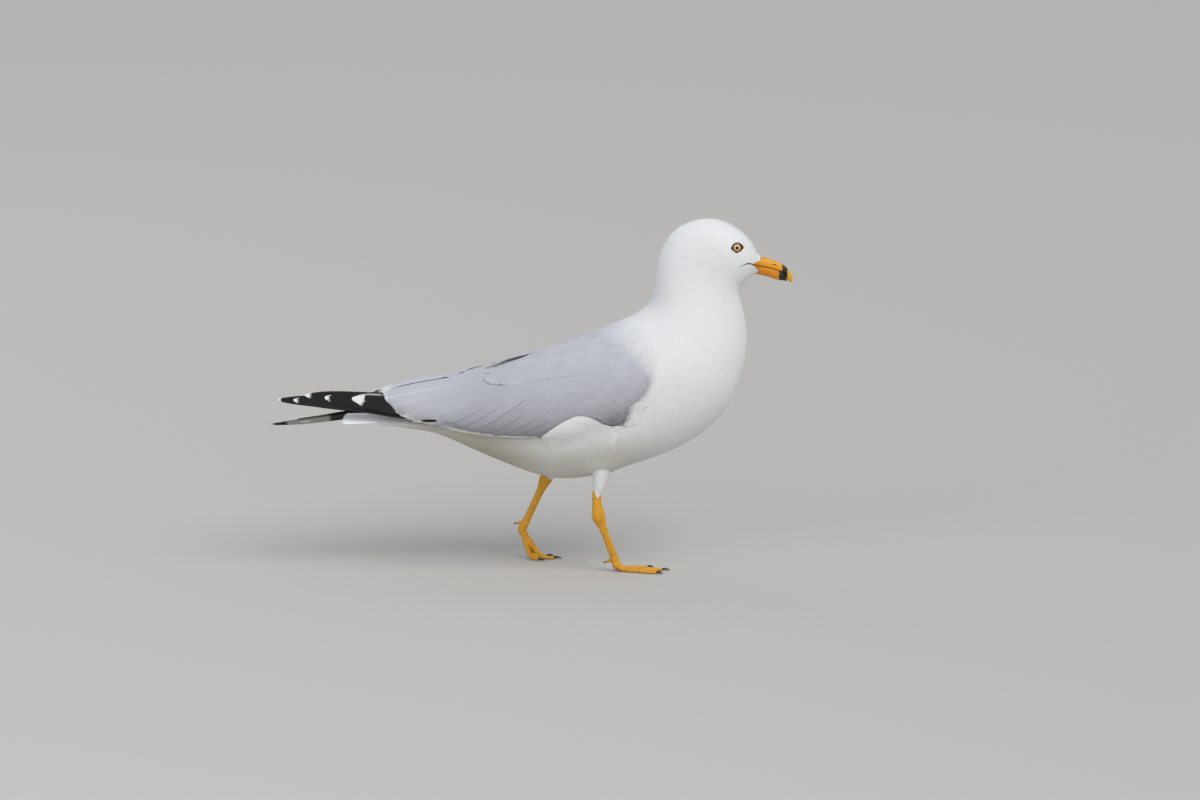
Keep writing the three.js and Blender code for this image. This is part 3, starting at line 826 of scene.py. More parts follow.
# The line along which the white flank feathers end over the wing, front to back, as [x, z].
flankKeys = [
    (27, 149.6),
    (18, 150),
    (9, 150.6),
    (1, 153.7),
    (-6, 157.6),
    (-14.6, 160.8),
    (-24.3, 160.4),
    (-35, 155.4),
    (-45, 148.9),
    (-57, 139.4),
]
flank = {"crest": flankKeys, "puff": 1.6, "fall": 19, "frontFall": 6, "hollow": 1.6}
crest = throughPoints(flank["crest"], 130)
crestSteps = unitOf(np.gradient(crest, axis=0))
crestOut = np.stack([crestSteps[:, 1], -crestSteps[:, 0]], 1)


def flankRise(x, z):
    # How far the flank feathers stand over the wing's outline, and how far inside their crest a place is.
    gaps = np.stack([x, z], -1)[..., None, :] - crest
    nearest = (gaps**2).sum(-1).argmin(-1)
    gap = np.take_along_axis(gaps, nearest[..., None, None], -2)[..., 0, :]
    inside = -(gap * crestOut[nearest]).sum(-1)
    depth = np.maximum(0, inside)
    ends = ramp(x, 26, 4) * ramp(x, -62, -46)
    fall = mixed(flank["fall"], flank["frontFall"], ramp(x, -12, 14))
    rise = flank["puff"] * bell(depth, fall) * ends
    hollow = flank["hollow"] * ramp(depth, 15, 27) * ramp(x, 12, 4)
    return rise - hollow - ramp(x, 20, 30), inside


def sidePad(side):
    # Flesh that fills the hollows between wing, breast and flank, up to just under their feathers.
    s, a = np.meshgrid(alongWing(np.linspace(68, -58, 84)), np.linspace(0.10, 0.47, 90), indexing="ij")
    points, _, _, normals = wing.read(s, a if side > 0 else 1 - a)
    x, _, z = axesOf(rawOf(wing.read(s, a)[0]))
    rise, inside = flankRise(x, z)
    front = ramp(x, -8, -3) * ramp(z, 134, 138) * ramp(z, 250, 244)
    under = ramp(inside, -3, 0) * ramp(x, -57, -51)
    height = mixed(-4.5, 0.45, np.maximum(front, under)) + rise * ramp(inside, 0, 3)
    height -= 0.6 * ramp(x, 30, 40)
    top, low = points + normals * (height * mm)[..., None], points - normals * 7 * mm
    full = np.stack([top, low])[:, :, ::side]
    return addMesh("sidePad", full, vaneFaces(1, *x.shape, True), bpy.data.materials.new("pad"))


eyeCentre = np.array([131.3, 11.2, 318.4])
corneaRadius, corneaBase, corneaBulge = 4.4, 5.9, 1.35


def eyeFrame(side):
    out = unitOf(np.array([0.12, side * 1.0, 0.04]))
    forward = unitOf(np.array([1.0, 0, 0]) - out * out[0])
    up = np.cross(forward, out) * (1 if side < 0 else -1)
    return eyeCentre * [1, side, 1], out, forward, up * np.sign(up[2])


def addSkin():
    extras = [thighTube(suffix, -1.1) for suffix in thighLines] + [sidePad(1), sidePad(-1)]
    skin = remeshed("skin", flesh, 1.7, 14, extras)
    points = pointsOf(skin)
    # Inside the tail feathers it runs out to a thin edge.
    tailStart, tailEnd, tailTop = -160, -212, 152
    behind = (shiftX + tailStart * mm - points[:, 0]) / mm
    within = points[:, 2] < tailTop * mm
    thin = np.where(within, ramp(behind, 0, 45), 0)
    level = (142 + 5 * ramp(behind, -1.5, 54.5)) * mm
    points[:, 2] = mixed(points[:, 2], level, 0.93 * thin)
    points[:, 1] *= 1 - 0.35 * thin
    points[:, 0] = np.where(within, np.maximum(points[:, 0], shiftX + tailEnd * mm), points[:, 0])
    points -= normalsOf(skin) * depthAt(points)[:, None]
    points[:, 2] -= grooveAt(points)
    # The sockets are kept clear of the lids.
    for side in (-1, 1):
        centre, out, _, _ = eyeFrame(side)
        away = (points - place(centre)) / mm
        height = away @ out
        radius = np.linalg.norm(away - height[:, None] * out, axis=1)
        cap = corneaRadius + np.maximum(0, radius - 6) * 1.6
        over = np.where((height > cap) & (radius < 11), height - cap, 0)
        points -= out * (over * mm)[:, None]
    setPoints(skin, points)
    addColors(skin, tintAt(points))
    skin.data.materials.append(coatMaterial)
    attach(skin, "root")
    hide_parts(*flesh, "thigh_right", "thigh_left")
    return skin


skin = addSkin()
print("skin", len(skin.data.polygons))

# ---- small feathers of head, neck and underparts ----

eyeSpot = np.array([sourceEyeX - 0.3, 0, 318.8])
eyeRoom = 6.1

softShape = {
    "columns": 5,
    "base": 0.5,
    "widest": 0.45,
    "taper": 0.8,
    "rounding": 0.4,
    "fray": 0.05,
    "camber": 0.015,
    "lie": 7.0,
    "slope": 0.18,
    "soft": 0.85,
}


def coatSpacing(s, a, points):
    stages = [0.0, 0.055, 0.12, 0.245, 0.36, 0.45, 0.56, 0.73, 0.84, 0.92, 1.0]
    sizes = [0.75, 0.8, 0.95, 1.15, 1.4, 1.7, 2.0, 2.2, 2.3, 2.8, 3.4]
    return np.interp(s, stages, sizes) * mm


def eyeAway(points):
    x, y, z = axesOf(rawOf(points))
    return x - eyeSpot[0], (z - eyeSpot[2]) * 1.2, np.abs(y) > 8


def clearOfEye(points, reach):
    dx, dz, side = eyeAway(points)
    return (np.hypot(dx, dz) > reach) | ~side


def roundEye(s, a):
    # Turns feathers that run towards the eye, so that they part round its ring.
    points = body.read(s, a)[0]
    dx, dz, side = eyeAway(points)
    distance = np.hypot(dx, dz) + 1e-6
    ratio = eyeRoom**2 / np.maximum(distance, eyeRoom) ** 4
    direction = np.stack([-1 + ratio * (dx**2 - dz**2), 0 * dx, 2 * ratio * dx * dz / 1.2], -1)
    straight = headingOf(body, s, a, np.array([-1.0, 0, 0]))
    turned = headingOf(body, s, a, direction)
    weight = np.clip((eyeRoom * 2.6 - distance) / eyeRoom, 0, 1) * side
    return (turned - straight) * weight


wingLowX = [-215, -182, -158, -136, -98, -62, -32, -10, 10, 28, 42, 50, 60]
wingLowZ = [165, 152, 147.5, 141, 137, 137, 139.5, 146, 155, 164.5, 176, 190, 214]


def underWing(raw):
    x, _, z = axesOf(raw)
    return (z > np.interp(x, wingLowX, wingLowZ) + 7) & (x < greyEdge(z) + 3)


def inMouth(points):
    # Whether a place is on the bare skin between the bill and the corner of the mouth.
    x, _, z = axesOf(rawOf(points))
    low = np.interp(x, [148, 149.4, 151.9, 154.2, 156.8], [301, 299.9, 296.6, 293.3, 291.4])
    high = np.interp(x, [148, 149.6, 152.6, 155.6, 157.5], [301, 301.5, 302.7, 304.0, 304.4])
    return (x > 148) & (z > low) & (z < high)


def addCoat():
    def keep(s, a, points):
        raw = rawOf(points)
        return clearOfEye(points, eyeRoom) & ~underWing(raw) & (raw[..., 0] > -199)

    tries = 300000
    s, a, points = scatter(body, coatSpacing, keep, tries)
    gap = coatSpacing(s, a, points)
    names = ["coat-face", "coat-head", "coat-neck", "coat-breast", "coat-belly"]
    stages = [0.0, 0.18, 0.31, 0.45, 0.62, 1.01]
    for name, first, last in zip(names, stages, stages[1:]):
        own = (s >= first) & (s < last)
        count = own.sum()
        size = gap[own]
        big = np.clip((size / mm - 0.8) / 1.6, 0, 1)
        vanes = {
            "length": size * 5.8 * rng.uniform(0.85, 1.2, count),
            "width": size * 2.5 * rng.uniform(0.85, 1.15, count),
            "low": -(0.35 + 0.45 * big) * mm * np.ones(count),
            "high": (0.04 + 0.06 * big + rng.uniform(0, 0.03, count) * (0.4 + big)) * mm,
        }
        u = np.array([0, 0.1, 0.25, 0.55, 0.8, 1.0])
        shape = {**softShape, "u": u, "taper": 0.78, "fray": 0.04}
        heading = rng.normal(0, 0.12, count)
        lines = tracedLines(body, s[own], a[own], heading, vanes["length"], u, 0.15, roundEye)
        # No feather lies over the eye.
        reached = body.read(*lines)[0]
        free = clearOfEye(reached[:, 1:], eyeRoom - 0.25).all(1) & ~inMouth(reached).any(1)
        vanes = {key: value[free] for key, value in vanes.items()}
        lines = (lines[0][free], lines[1][free])
        middle = body.read(*lines)[0]
        tint = tintAt(middle) * (1 + rng.normal(0, 0.012, (len(middle), 1, 1)))
        dx, dz, beside = eyeAway(middle)
        blush = np.clip((8.2 - np.hypot(dx, dz)) / 2.4, 0, 1) * beside * 0.45
        vanes["tint"] = mixed(tint, np.array([0.80, 0.64, 0.60]), blush[..., None])[:, :, None]
        layVanes(name, body, coatMaterial, lines, vanes, shape)


addCoat()

# ---- feathers of the folded wings and the mantle ----

greyMaterial = plumage("wingFeathers", 0.8, 0.05, 0.66, 0.2, 0.07)


def wingSlope(raw):
    # How steeply the feathers run down and back: least along the back, most in the lower wing.
    x, _, z = axesOf(raw)
    return mixed(0.30, 0.50, ramp(z, 205, 155)) - 0.12 * ramp(x, -90, -150)


def greyTint(count, u, v, rim, root):
    # Each vane a little lighter along its rim and darker at its root, and different from its neighbours.
    edge = ramp(np.maximum(np.abs(v)[None] ** 3, (u[:, None]) ** 9), 0.35, 1)
    shade = 1 - root * (1 - u[:, None]) ** 1.5 + rim * edge
    return shade[None, :, :, None] * (1 + rng.normal(0, 0.02, (count, 1, 1, 1)))


def addCoverts():
    def spacing(s, a, points):
        raw = rawOf(points)
        x, y, _ = axesOf(raw)
        side = ramp(np.abs(y), 12, 32)
        return np.where(isGrey(raw), 3.4 + ramp(x, 60, -70) * mixed(4.4, 4.0, side), 1.75) * mm

    def keep(s, a, points):
        raw = rawOf(points)
        x, _, z = axesOf(raw)
        low = np.interp(x, wingLowX, wingLowZ)
        rear = np.interp(z, [138, 160, 180, 200, 215], [-20, -40, -62, -80, -96])
        hollow = (x > -6) & (flankRise(x, z)[1] < 3)
        mantle = isGrey(raw) & (x > rear) & ((z > low + 3) | hollow)
        edge = greyEdge(z)
        front = (x > edge - 1) & (x < edge + 14) & (x > 6) & (z > 149) & (z < 246)
        return mantle | front

    tries = 60000
    s, a, points = scatter(wing, spacing, keep, tries)
    raw = rawOf(points)
    heading = headingOf(wing, s, a, slanting(wingSlope(raw)))
    pale = ~isGrey(raw)
    size = spacing(s, a, points)
    firm = {"columns": 7, "widest": 0.6, "taper": 0.45, "fray": 0.02, "soft": 0.75, "slot": "plumage_grey"}
    shapes = {"coverts": firm, "sideCoat": {"widest": 0.4, "taper": 0.9}}
    for name, own, material in (("coverts", ~pale, greyMaterial), ("sideCoat", pale, coatMaterial)):
        count = own.sum()
        covert = name == "coverts"
        height = raw[own][:, 2]
        lift = 0 if covert else np.where(height < 175, 0.6, np.where(height > 205, 0.0, 0.35))
        vanes = {
            "length": size[own] * (4.0 if covert else 6.4) * rng.uniform(0.9, 1.1, count),
            "width": size[own] * (2.35 if covert else 2.3) * rng.uniform(0.93, 1.07, count),
            "low": np.full(count, -0.9 * mm),
            "high": (0.12 + lift + rng.uniform(0, 0.1, count)) * mm,
        }
        u = np.linspace(0, 1, 7)
        shape = {**softShape, "u": u, "lie": 6.0, "slope": 0.15, **shapes[name]}
        turn = heading[own] + rng.normal(0, 0.06, count)
        lines = tracedLines(wing, s[own], a[own], turn, vanes["length"], u)
        middle = wing.read(*lines)[0]
        # Tips that go under the flank feathers stay low.
        x, _, z = axesOf(rawOf(middle[:, -1]))
        hidden = (flankRise(x, z)[1] > 0.5) & (x > -60) & (x < 30) & (z < 162)
        vanes["high"] = vanes["high"] - np.where(hidden, 0.8 * mm, 0)
        if covert:
            shade = greyTint(count, u, np.linspace(-1, 1, 7), 0.05, 0.04)
        else:
            shade = 1 + rng.normal(0, 0.012, (count, 1, 1, 1))
        vanes["tint"] = tintAt(middle)[:, :, None] * shade
        layVanes(name, wing, material, lines, vanes, shape)


addCoverts()


def keyed(keys, count):
    # More feathers between the given ones, evenly.
    keys = np.asarray(keys, float)
    at = np.linspace(0, len(keys) - 1, count)
    return np.stack([np.interp(at, np.arange(len(keys)), keys[:, k]) for k in range(keys.shape[1])], 1)


def pathLengths(paths):
    return np.linalg.norm(np.diff(paths, axis=1), axis=2).sum(1)


def layBoth(name, material, lines, vanes, shape):
    # The same vanes on both wings, from their lines on the right one.
    s, a = lines
    for side, suffix in ((1.0, "right"), (-1.0, "left")):
        own = (s, a if side > 0 else 1 - a)
        layVanes(name + "-" + suffix, wing, material, own, {**vanes, "side": side}, shape)


def addTract(name, keys, count, shape, low, high, bend=0.0, tips=None):
    # A row of long feathers on both wings, from [root x, root z, tip x, tip z, width], top feather first.
    rows = keyed(keys, count)
    rows[:, :4] += rng.normal(0, 0.5, (count, 4))
    u, v = shape["u"], np.linspace(-1, 1, shape["columns"])
    x = mixed(rows[:, 0:1], rows[:, 2:3], u[None])
    z = mixed(rows[:, 1:2], rows[:, 3:4], u[None]) + bend * np.sin(np.pi * u)[None]
    s, a = sideSpots(x, z)
    middle = wing.read(s, a)[0]
    length = pathLengths(middle)
    tint = greyTint(count, u, v, shape.get("rim", 0.12), 0.05) * greyAt(rawOf(middle))[:, :, None]
    if tips is not None:
        tint = tips(tint, u, v, length)
    vanes = {
        "length": length,
        "width": rows[:, 4] * mm,
        "tint": tint,
        "low": np.full(count, low * mm),
        "high": mixed(high[0], high[1], np.linspace(1, 0, count)) * mm,
    }
    layBoth(name, greyMaterial, (s, a), vanes, shape)


def paleTips(depth, strength, fade=2.0):
    def dress(tint, u, v, length):
        back = (1 - u[None, :, None]) * length[:, None, None] / mm
        rim = back - 2.0 * (1 - np.abs(v)[None, None] ** 2)
        share = np.clip((depth - rim) / fade, 0, 1)[..., None] * strength
        return tint * (1 - share) + white * share

    return dress


longShape = {
    "u": np.linspace(0, 1, 15) ** 0.85,
    "columns": 9,
    "base": 0.5,
    "widest": 0.62,
    "taper": 0.3,
    "rounding": 0.42,
    "fray": 0.006,
    "camber": 0.03,
    "lie": 3.0,
    "tilt": 0.03,
    "tipOnly": 5,
    "thickness": 0.15 * mm,
    "slot": "plumage_grey",
}

secondaryKeys = [
    (-85, 186, -152, 150, 17),
    (-76, 180, -139, 144.5, 16),
    (-64, 174, -125, 140.5, 15),
    (-50, 168, -108, 138.5, 15),
    (-36, 163, -90, 138, 14),
    (-22, 160, -72, 138.5, 13),
    (-8, 158, -55, 140, 12),
]
greaterKeys = [
    (-70, 198, -150, 154, 15),
    (-62, 194, -137, 147.5, 14),
    (-50, 188, -121, 143.5, 13),
    (-34, 181, -103, 142, 13),
    (-18, 175, -84, 142, 12),
    (0, 170, -62, 145, 11),
    (14, 168, -40, 150, 10),
]
tertialKeys = [
    (-96, 196, -214, 175.5, 16),
    (-94, 193, -220, 170.5, 18),
    (-91, 189, -219, 165.0, 19),
    (-88, 185, -211, 159.5, 19),
    (-86, 182, -193, 155.0, 19),
    (-84, 180, -171, 152, 17),
]
scapularKeys = [
    (-46, 211, -113, 190.5, 14),
    (-34, 210, -105, 189.5, 16),
    (-20, 210, -92, 190, 17),
    (-5, 208, -74, 195, 16),
    (10, 208, -50, 199.5, 15),
    (25, 209, -26, 203, 13),
]
# A short dark line near the lower rear edge of each wing.
slitKeys = [(-153, 153.9, -172, 152.4, 2.7)] * 2


def addFlank():
    # White flank feathers that puff up over the lower edge of the folded wing.
    ahead = 30
    lengths = np.cumsum(np.linalg.norm(np.diff(crest, axis=0, prepend=crest[:1]), axis=1))
    run = np.concatenate([[-ahead], lengths])
    line = np.concatenate([crest[:1] - crestSteps[:1] * ahead, crest])
    outward = np.concatenate([crestOut[:1], crestOut])
    u = np.array([0, 0.1, 0.25, 0.5, 0.75, 1.0])
    paths, wide = [], []
    for depth in np.concatenate([[-0.2, 0.4, 1.0, 1.7], np.arange(2.5, 28, 1.3)]):
        # By the crest they bend with it, and further in they lie straight.
        k = np.arange(len(crest))[rng.integers(0, 2) :: 2]
        calm = min(1.0, max(0.2, depth / 4))
        sway = rng.normal(0, 0.6, (len(k), 2)) * calm
        length = rng.uniform(11, 16, (len(k), 1))
        along = run[k + 1][:, None] + sway[:, 1:] - length * (1 - u)
        deep = depth + sway[:, :1] + 1.6 * (1 - u)
        bent = [
            np.interp(along, run, line[:, i]) - np.interp(along, run, outward[:, i]) * deep for i in (0, 1)
        ]
        way = unitOf(crestSteps[k] + crestOut[k] * rng.normal(0.10, 0.08, (len(k), 1)) * calm)
        tip = crest[k] - crestOut[k] * (depth + sway[:, :1]) + crestSteps[k] * sway[:, 1:]
        straight = [tip[:, i : i + 1] - way[:, i : i + 1] * length * (1 - u) for i in (0, 1)]
        paths.append(mixed(np.stack(bent), np.stack(straight), ramp(depth, 4, 10)))
        wide.append(np.full(len(k), mixed(0.6, 1.0, ramp(depth, 0, 3.5))))
    # A plain layer below them fills the partings, and a width just over 1 marks its vanes.
    plainWidth = 1.001
    x, z = np.meshgrid(np.arange(-50, 8, 2.2), np.arange(125, 158, 1.7))
    tip = np.stack([x.ravel(), z.ravel()]) + rng.normal(0, 0.5, (2, x.size))
    layer = tip[..., None] + np.array([12, 1.5])[:, None, None] * (1 - u)
    layer = layer[:, (flankRise(*layer)[1] > 1.5).all(1)]
    paths.append(layer)
    wide.append(np.full(layer.shape[1], plainWidth))
    (x, z), wide = np.concatenate(paths, 1), np.concatenate(wide)
    fits = (z.min(1) > 122) & (x.max(1) < 36) & ((x[:, -1] < 8) | (wide < 0.95))
    x, z, wide = x[fits], z[fits], wide[fits]
    heights = flankRise(x, z)[0] - 0.9 * (1 - u) ** 5 + 0.22 * u + rng.uniform(0, 0.08, (len(x), 1))
    heights -= np.where(wide > 1, 0.12, 0)[:, None]
    s, a = sideSpots(x, z)
    middle = wing.read(s, a)[0]
    count = len(s)
    shape = {**softShape, "u": u, "fray": 0.03, "soft": 0.6}
    # Painted light: the flank feathers are tinted a little brighter than the rest of the white, for the
    # light on their crest.
    vanes = {
        "length": pathLengths(middle),
        "width": rng.uniform(4.2, 5.6, count) * wide * mm,
        "tint": whiteAt(rawOf(middle[:, -1])) * (1.06 + rng.normal(0, 0.012, (count, 1))),
        "heights": heights * mm,
    }
    layBoth("flankCoat", coatMaterial, (s, a), vanes, shape)


def nearBlack(tint, u, v, length):
    return tint * 0.02


narrowTips, tertialTips = paleTips(1.2, 0.35), paleTips(14, 0.9, 12)
tertialShape = {**longShape, "rim": 0.35, "tilt": 0.04}
addTract("secondaries", secondaryKeys, 12, longShape, -1.6, (0.0, 0.2), 0.0, narrowTips)
addTract("greaterCoverts", greaterKeys, 9, {**longShape, "tilt": 0.06}, -1.2, (0.1, 0.5))
addTract("wingSlit", slitKeys, 2, longShape, 0.7, (1.15, 1.15), 0.0, nearBlack)
addTract("tertials", tertialKeys, 6, tertialShape, -1.2, (0.5, 1.2), 3.0, tertialTips)
addTract("scapulars", scapularKeys, 11, longShape, -1.0, (0.12, 0.35), 1.0, paleTips(1.4, 0.35))

addFlank()


def addBackGap():
    # A narrow shadowed gap beside the hollow along the back, under the edge of the left wing.
    u = np.linspace(0, 1, 15)
    shape = {**longShape, "u": u, "base": 0.1, "widest": 0.5, "taper": 0.97, "fray": 0.0, "tilt": 0.0}
    s = alongWing(np.linspace(-64, -112, 15)[None])
    a = 1 - mixed(0.0125, 0.0105, u)[None]
    vanes = {"length": np.array([48.0 * mm]), "width": np.array([2.8 * mm]), "side": -1.0}
    shade = mixed(0.10, 0.5, np.clip(u * 1.6 - 0.6, 0, 1))[None, :, None, None]
    vanes.update({"low": np.array([0.4 * mm]), "high": np.array([0.7 * mm]), "tint": grey * shade})
    layVanes("backGap", wing, greyMaterial, (s, a), vanes, shape)


addBackGap()

# ---- flight feathers past the wings, and tail ----

black = np.array([0.014, 0.0115, 0.0105])


def stripChart(stations, side, half):
    # A strip along folded outer feathers, from [x, inner y, inner z, outer y, outer z].
    rows = np.asarray(stations, float)
    x = np.linspace(rows[0, 0], rows[-1, 0], 120)
    at = [np.interp(-x, -rows[:, 0], rows[:, k]) for k in range(1, 5)]
    at = np.stack([smoothRows(value[:, None], 0, 6, False)[:, 0] for value in at], 1)
    across = np.stack([0 * x, side * (at[:, 2] - at[:, 0]), at[:, 3] - at[:, 1]], 1)
    across = smoothRows(across / np.linalg.norm(across, axis=1, keepdims=True), 0, 6, False)
    centre = np.stack([x, side * (at[:, 0] + at[:, 2]) / 2, (at[:, 1] + at[:, 3]) / 2], 1)
    w = np.linspace(-half, half, 41)
    out = np.cross(across, [1.0, 0, 0]) * side
    out *= np.sign(out[:, 2:3])
    bow = 1.5 * (1 - (w / 14) ** 2)
    grid = centre[:, None] + across[:, None] * w[None, :, None] + out[:, None] * bow[None, :, None]
    return Chart(place(grid if side < 0 else grid[:, ::-1]), False)


rightStations = [
    (-150, 14, 171, 36, 150),
    (-195, 11, 171.5, 33, 153),
    (-214, 9.5, 176, 31, 155.5),
    (-235, 7.5, 177, 27.5, 157.5),
    (-262, 5.5, 175, 22.5, 160.5),
    (-288, 4.5, 172, 15.5, 163),
    (-318, 4.5, 168, 9.5, 164.5),
]
leftStations = [
    (-150, 14, 168, 34, 152),
    (-178, 13, 163, 33, 148),
    (-207, 11, 158, 32.5, 144.5),
    (-235, 9.5, 153.6, 30, 141.8),
    (-262, 8.5, 149, 26.5, 138.6),
    (-290, 9, 144.5, 21.5, 136.5),
    (-326, 11, 138.5, 17, 135),
]


flightMaterial = plumage("flightFeathers", 0.9, 0.05, 0.6, 0.0, 0.2, 0.18)


def addPrimaries(suffix, side, stations, keys):
    # Each feather is [root x, root offset, tip x, tip offset, width, length of the white tip].
    half = 22
    chart = stripChart(stations, side, half)
    first, last = stations[0][0], stations[-1][0]
    rows = np.asarray(keys, float)
    count = len(rows)
    u, v = 1 - (1 - np.linspace(0, 1, 44)) ** 1.5, np.linspace(-1, 1, 13)
    x = mixed(rows[:, 0:1], rows[:, 2:3], u[None])
    w = mixed(rows[:, 1:2], rows[:, 3:4], u[None])
    s = (first - x) / (first - last)
    a = (w if side < 0 else -w) / (2 * half) + 0.5
    middle = chart.read(s, a)[0]
    length = pathLengths(middle)
    back = (1 - u[None, :, None]) * length[:, None, None] / mm
    tip = rows[:, 5][:, None, None]
    ragged = 0.5 * np.sin(v * 9)[None, None] + rng.normal(0, 0.25, (count, 1, len(v)))
    reach = tip * np.sqrt(np.clip(1 - (v[None, None] / 0.92) ** 4, 0, 1)) + ragged
    spot = np.clip((reach - back) / 0.7, 0, 1)
    tint = np.broadcast_to(black, (count, len(u), len(v), 3)) * rng.normal(1, 0.06, (count, 1, 1, 1))
    tint = mixed(tint, white, spot[..., None])
    # On the right wing the uppermost feather has a pale upper edge that runs back from its tip.
    edge = bell(v + 0.66, 0.09)[None] * ramp(back[-1], 32, 24)
    tint[-1] = mixed(tint[-1], white * 0.8, edge[..., None] * (0.8 if side < 0 else 0.0))
    # On the left wing, seen from below, the outer feathers have a white mirror painted grey as its shade,
    # with a white streak, before their black ends.
    wideX = x[:, :, None] + 0 * v
    shadedMirror = ramp(wideX, -306, -304) * ramp(wideX, -262, -264)
    streak = np.clip(1 - np.abs(wideX + 287) / 7, 0, 1) ** 0.5
    streak = streak * np.clip(1 - np.abs(v + 0.3)[None, None] / 0.4, 0, 1)
    below = mixed(black * 1.3, np.array([0.40, 0.385, 0.34]), shadedMirror[..., None])
    below = mixed(below, white, (streak > 0.35)[..., None] * 0.9)
    below = mixed(below, white, ramp(wideX, -317.5, -318.5)[..., None])
    shape = {
        "u": u,
        "columns": len(v),
        "base": 0.6,
        "widest": 0.35,
        "taper": 0.62,
        "taperPower": 3.5,
        "rounding": 0.5,
        "fray": 0.0015,
        "camber": 0.04,
        "lie": 1.0,
        "tipOnly": 12,
        "thickness": 0.3 * mm,
        "slot": "plumage_black",
    }
    order = np.arange(count)
    vanes = {
        "length": length,
        "width": rows[:, 4] * mm,
        "tint": tint,
        "tintBelow": below if side > 0 else tint,
        "low": (-1.2 + 0.55 * order) * mm,
        "high": (-0.6 + 0.4 * order) * mm,
    }
    piece = layVanes("primaryVanes-" + suffix, chart, flightMaterial, (s, a), vanes, shape)
    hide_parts("primaries_" + suffix)


rightKeys = [
    (-155, 6, -312, 0.5, 16, 2.6),
    (-155, 5, -297, 1.8, 18, 4.0),
    (-155, 1, -286, -4.2, 18, 5.5),
    (-155, 0, -266.5, -1.0, 22, 4.6),
    (-155, -2, -240, -1.0, 25, 12),
]
leftKeys = [
    (-155, 7, -322, 1.5, 15, 4.5),
    (-155, 5, -309, 1.0, 16, 3.0),
    (-155, 2, -294, -2.0, 17, 4.0),
    (-155, 0, -276, -2.0, 19, 5.0),
    (-155, -2, -250, -2.0, 21, 9),
]
addPrimaries("right", -1, rightStations, rightKeys)
addPrimaries("left", 1, leftStations, leftKeys)


def tailChart():
    x = np.linspace(-150, -256, 80)
    y = np.linspace(40, -40, 61)
    t = ramp(x, -161.5, -251)
    half = mixed(15, 30, np.sin(t * np.pi / 2))
    middle = mixed(142, 150.5, np.clip(1.6 * t, 0, 1))
    arch = 4.8 * t[:, None] * (y[None] / half[:, None]) ** 2
    z = middle[:, None] - 0.4 * t[:, None] - arch - y[None] * 0.05 * t[:, None]
    grid = np.stack([x[:, None] + 0 * z, y[None] + 0 * z, z], -1)
    return Chart(place(grid), False)


def addTail():
    chart = tailChart()
    # The outermost pair lies lowest. Each feather's number is its place from the middle.
    number = np.array([k * side for k in (5.5, 4.5, 3.5, 2.5, 1.5, 0.5) for side in (1, -1)])
    count = len(number)
    u, v = np.linspace(0, 1, 22) ** 0.85, np.linspace(-1, 1, 9)
    tipX = -251.3 + 0.06 * (np.abs(number) - 0.5) ** 2 + 0.9 * (number + 5.5)
    x = mixed(np.full((count, 1), -156.0), tipX[:, None], u[None])
    y = mixed(number[:, None] * 1.5, number[:, None] * 4.25, (u**0.8)[None])
    s, a = (-150 - x) / 106, (40 - y) / 80
    middle = chart.read(s, a)[0]
    length = pathLengths(middle)
    shape = {
        "u": u,
        "columns": len(v),
        "base": 0.5,
        "widest": 0.5,
        "taper": 0.18,
        "rounding": 0.4,
        "fray": 0.002,
        "camber": 0.03,
        "lie": 1.0,
        "tipOnly": 8,
        "thickness": 0.25 * mm,
    }
    # Painted light: the tail is tinted brighter than the other white, against the shade of the wings above
    # it.
    tint = np.broadcast_to(white * 1.15, (count, len(u), len(v), 3)) * rng.normal(1, 0.01, (count, 1, 1, 1))
    vanes = {
        "length": length,
        "width": np.full(count, 13.0 * mm),
        "tint": tint,
        "low": np.linspace(-0.9, 1.0, count) * mm,
        "high": np.linspace(-0.6, 0.7, count) * mm,
    }
    piece = layVanes("tailFeathers", chart, coatMaterial, (s, a), vanes, shape)
    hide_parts("tail")


addTail()

# ---- bare parts ----


def bareMaterial(name, roughness, coat, grain, bump, spread=0.25, cells=0.0, gloss=0.5, coatRoughness=0.25):
    # Horn, scaly skin or claw: its own tint, mottled, with fine relief of noise or of small cells.
    material, shader = newMaterial(name)
    links = material.node_tree.links
    setInputs(shader, {"Coat Weight": coat, "Coat Roughness": coatRoughness, "Specular IOR Level": gloss})

    def patterned(kind, inputs, **values):
        place = newNode(material, "ShaderNodeTexCoord")
        node = newNode(material, kind, inputs, **values)
        links.new(place.outputs["Object"], node.inputs["Vector"])
        return node

    tint = newNode(material, "ShaderNodeAttribute", attribute_name="tint")
    mottle = patterned("ShaderNodeTexNoise", {"Scale": grain, "Detail": 3.0}).outputs["Fac"]
    limits = {"From Min": 0.3, "From Max": 0.7, "To Min": 1 - spread, "To Max": 1.0}
    shade = newNode(material, "ShaderNodeMapRange", limits)
    links.new(mottle, shade.inputs["Value"])
    mix = newNode(material, "ShaderNodeMix", {0: 1.0}, data_type="RGBA", blend_type="MULTIPLY")
    links.new(tint.outputs["Color"], mix.inputs[6])
    links.new(shade.outputs["Result"], mix.inputs[7])
    links.new(mix.outputs[2], shader.inputs["Base Color"])
    rough = newNode(material, "ShaderNodeMapRange", {"To Min": roughness - 0.08, "To Max": roughness + 0.10})
    links.new(mottle, rough.inputs["Value"])
    links.new(rough.outputs["Result"], shader.inputs["Roughness"])
    height = patterned("ShaderNodeTexNoise", {"Scale": grain * 4, "Detail": 5.0}).outputs["Fac"]
    if cells:
        pattern = patterned("ShaderNodeTexVoronoi", {"Scale": cells}, feature="DISTANCE_TO_EDGE")
        rounded = newNode(material, "ShaderNodeMapRange", {"From Max": 0.22})
        links.new(pattern.outputs["Distance"], rounded.inputs["Value"])
        height = rounded.outputs["Result"]
    relief = newNode(material, "ShaderNodeBump", {"Strength": 0.6, "Distance": bump * mm})
    links.new(height, relief.inputs["Height"])
    links.new(relief.outputs["Normal"], shader.inputs["Normal"])
    return material


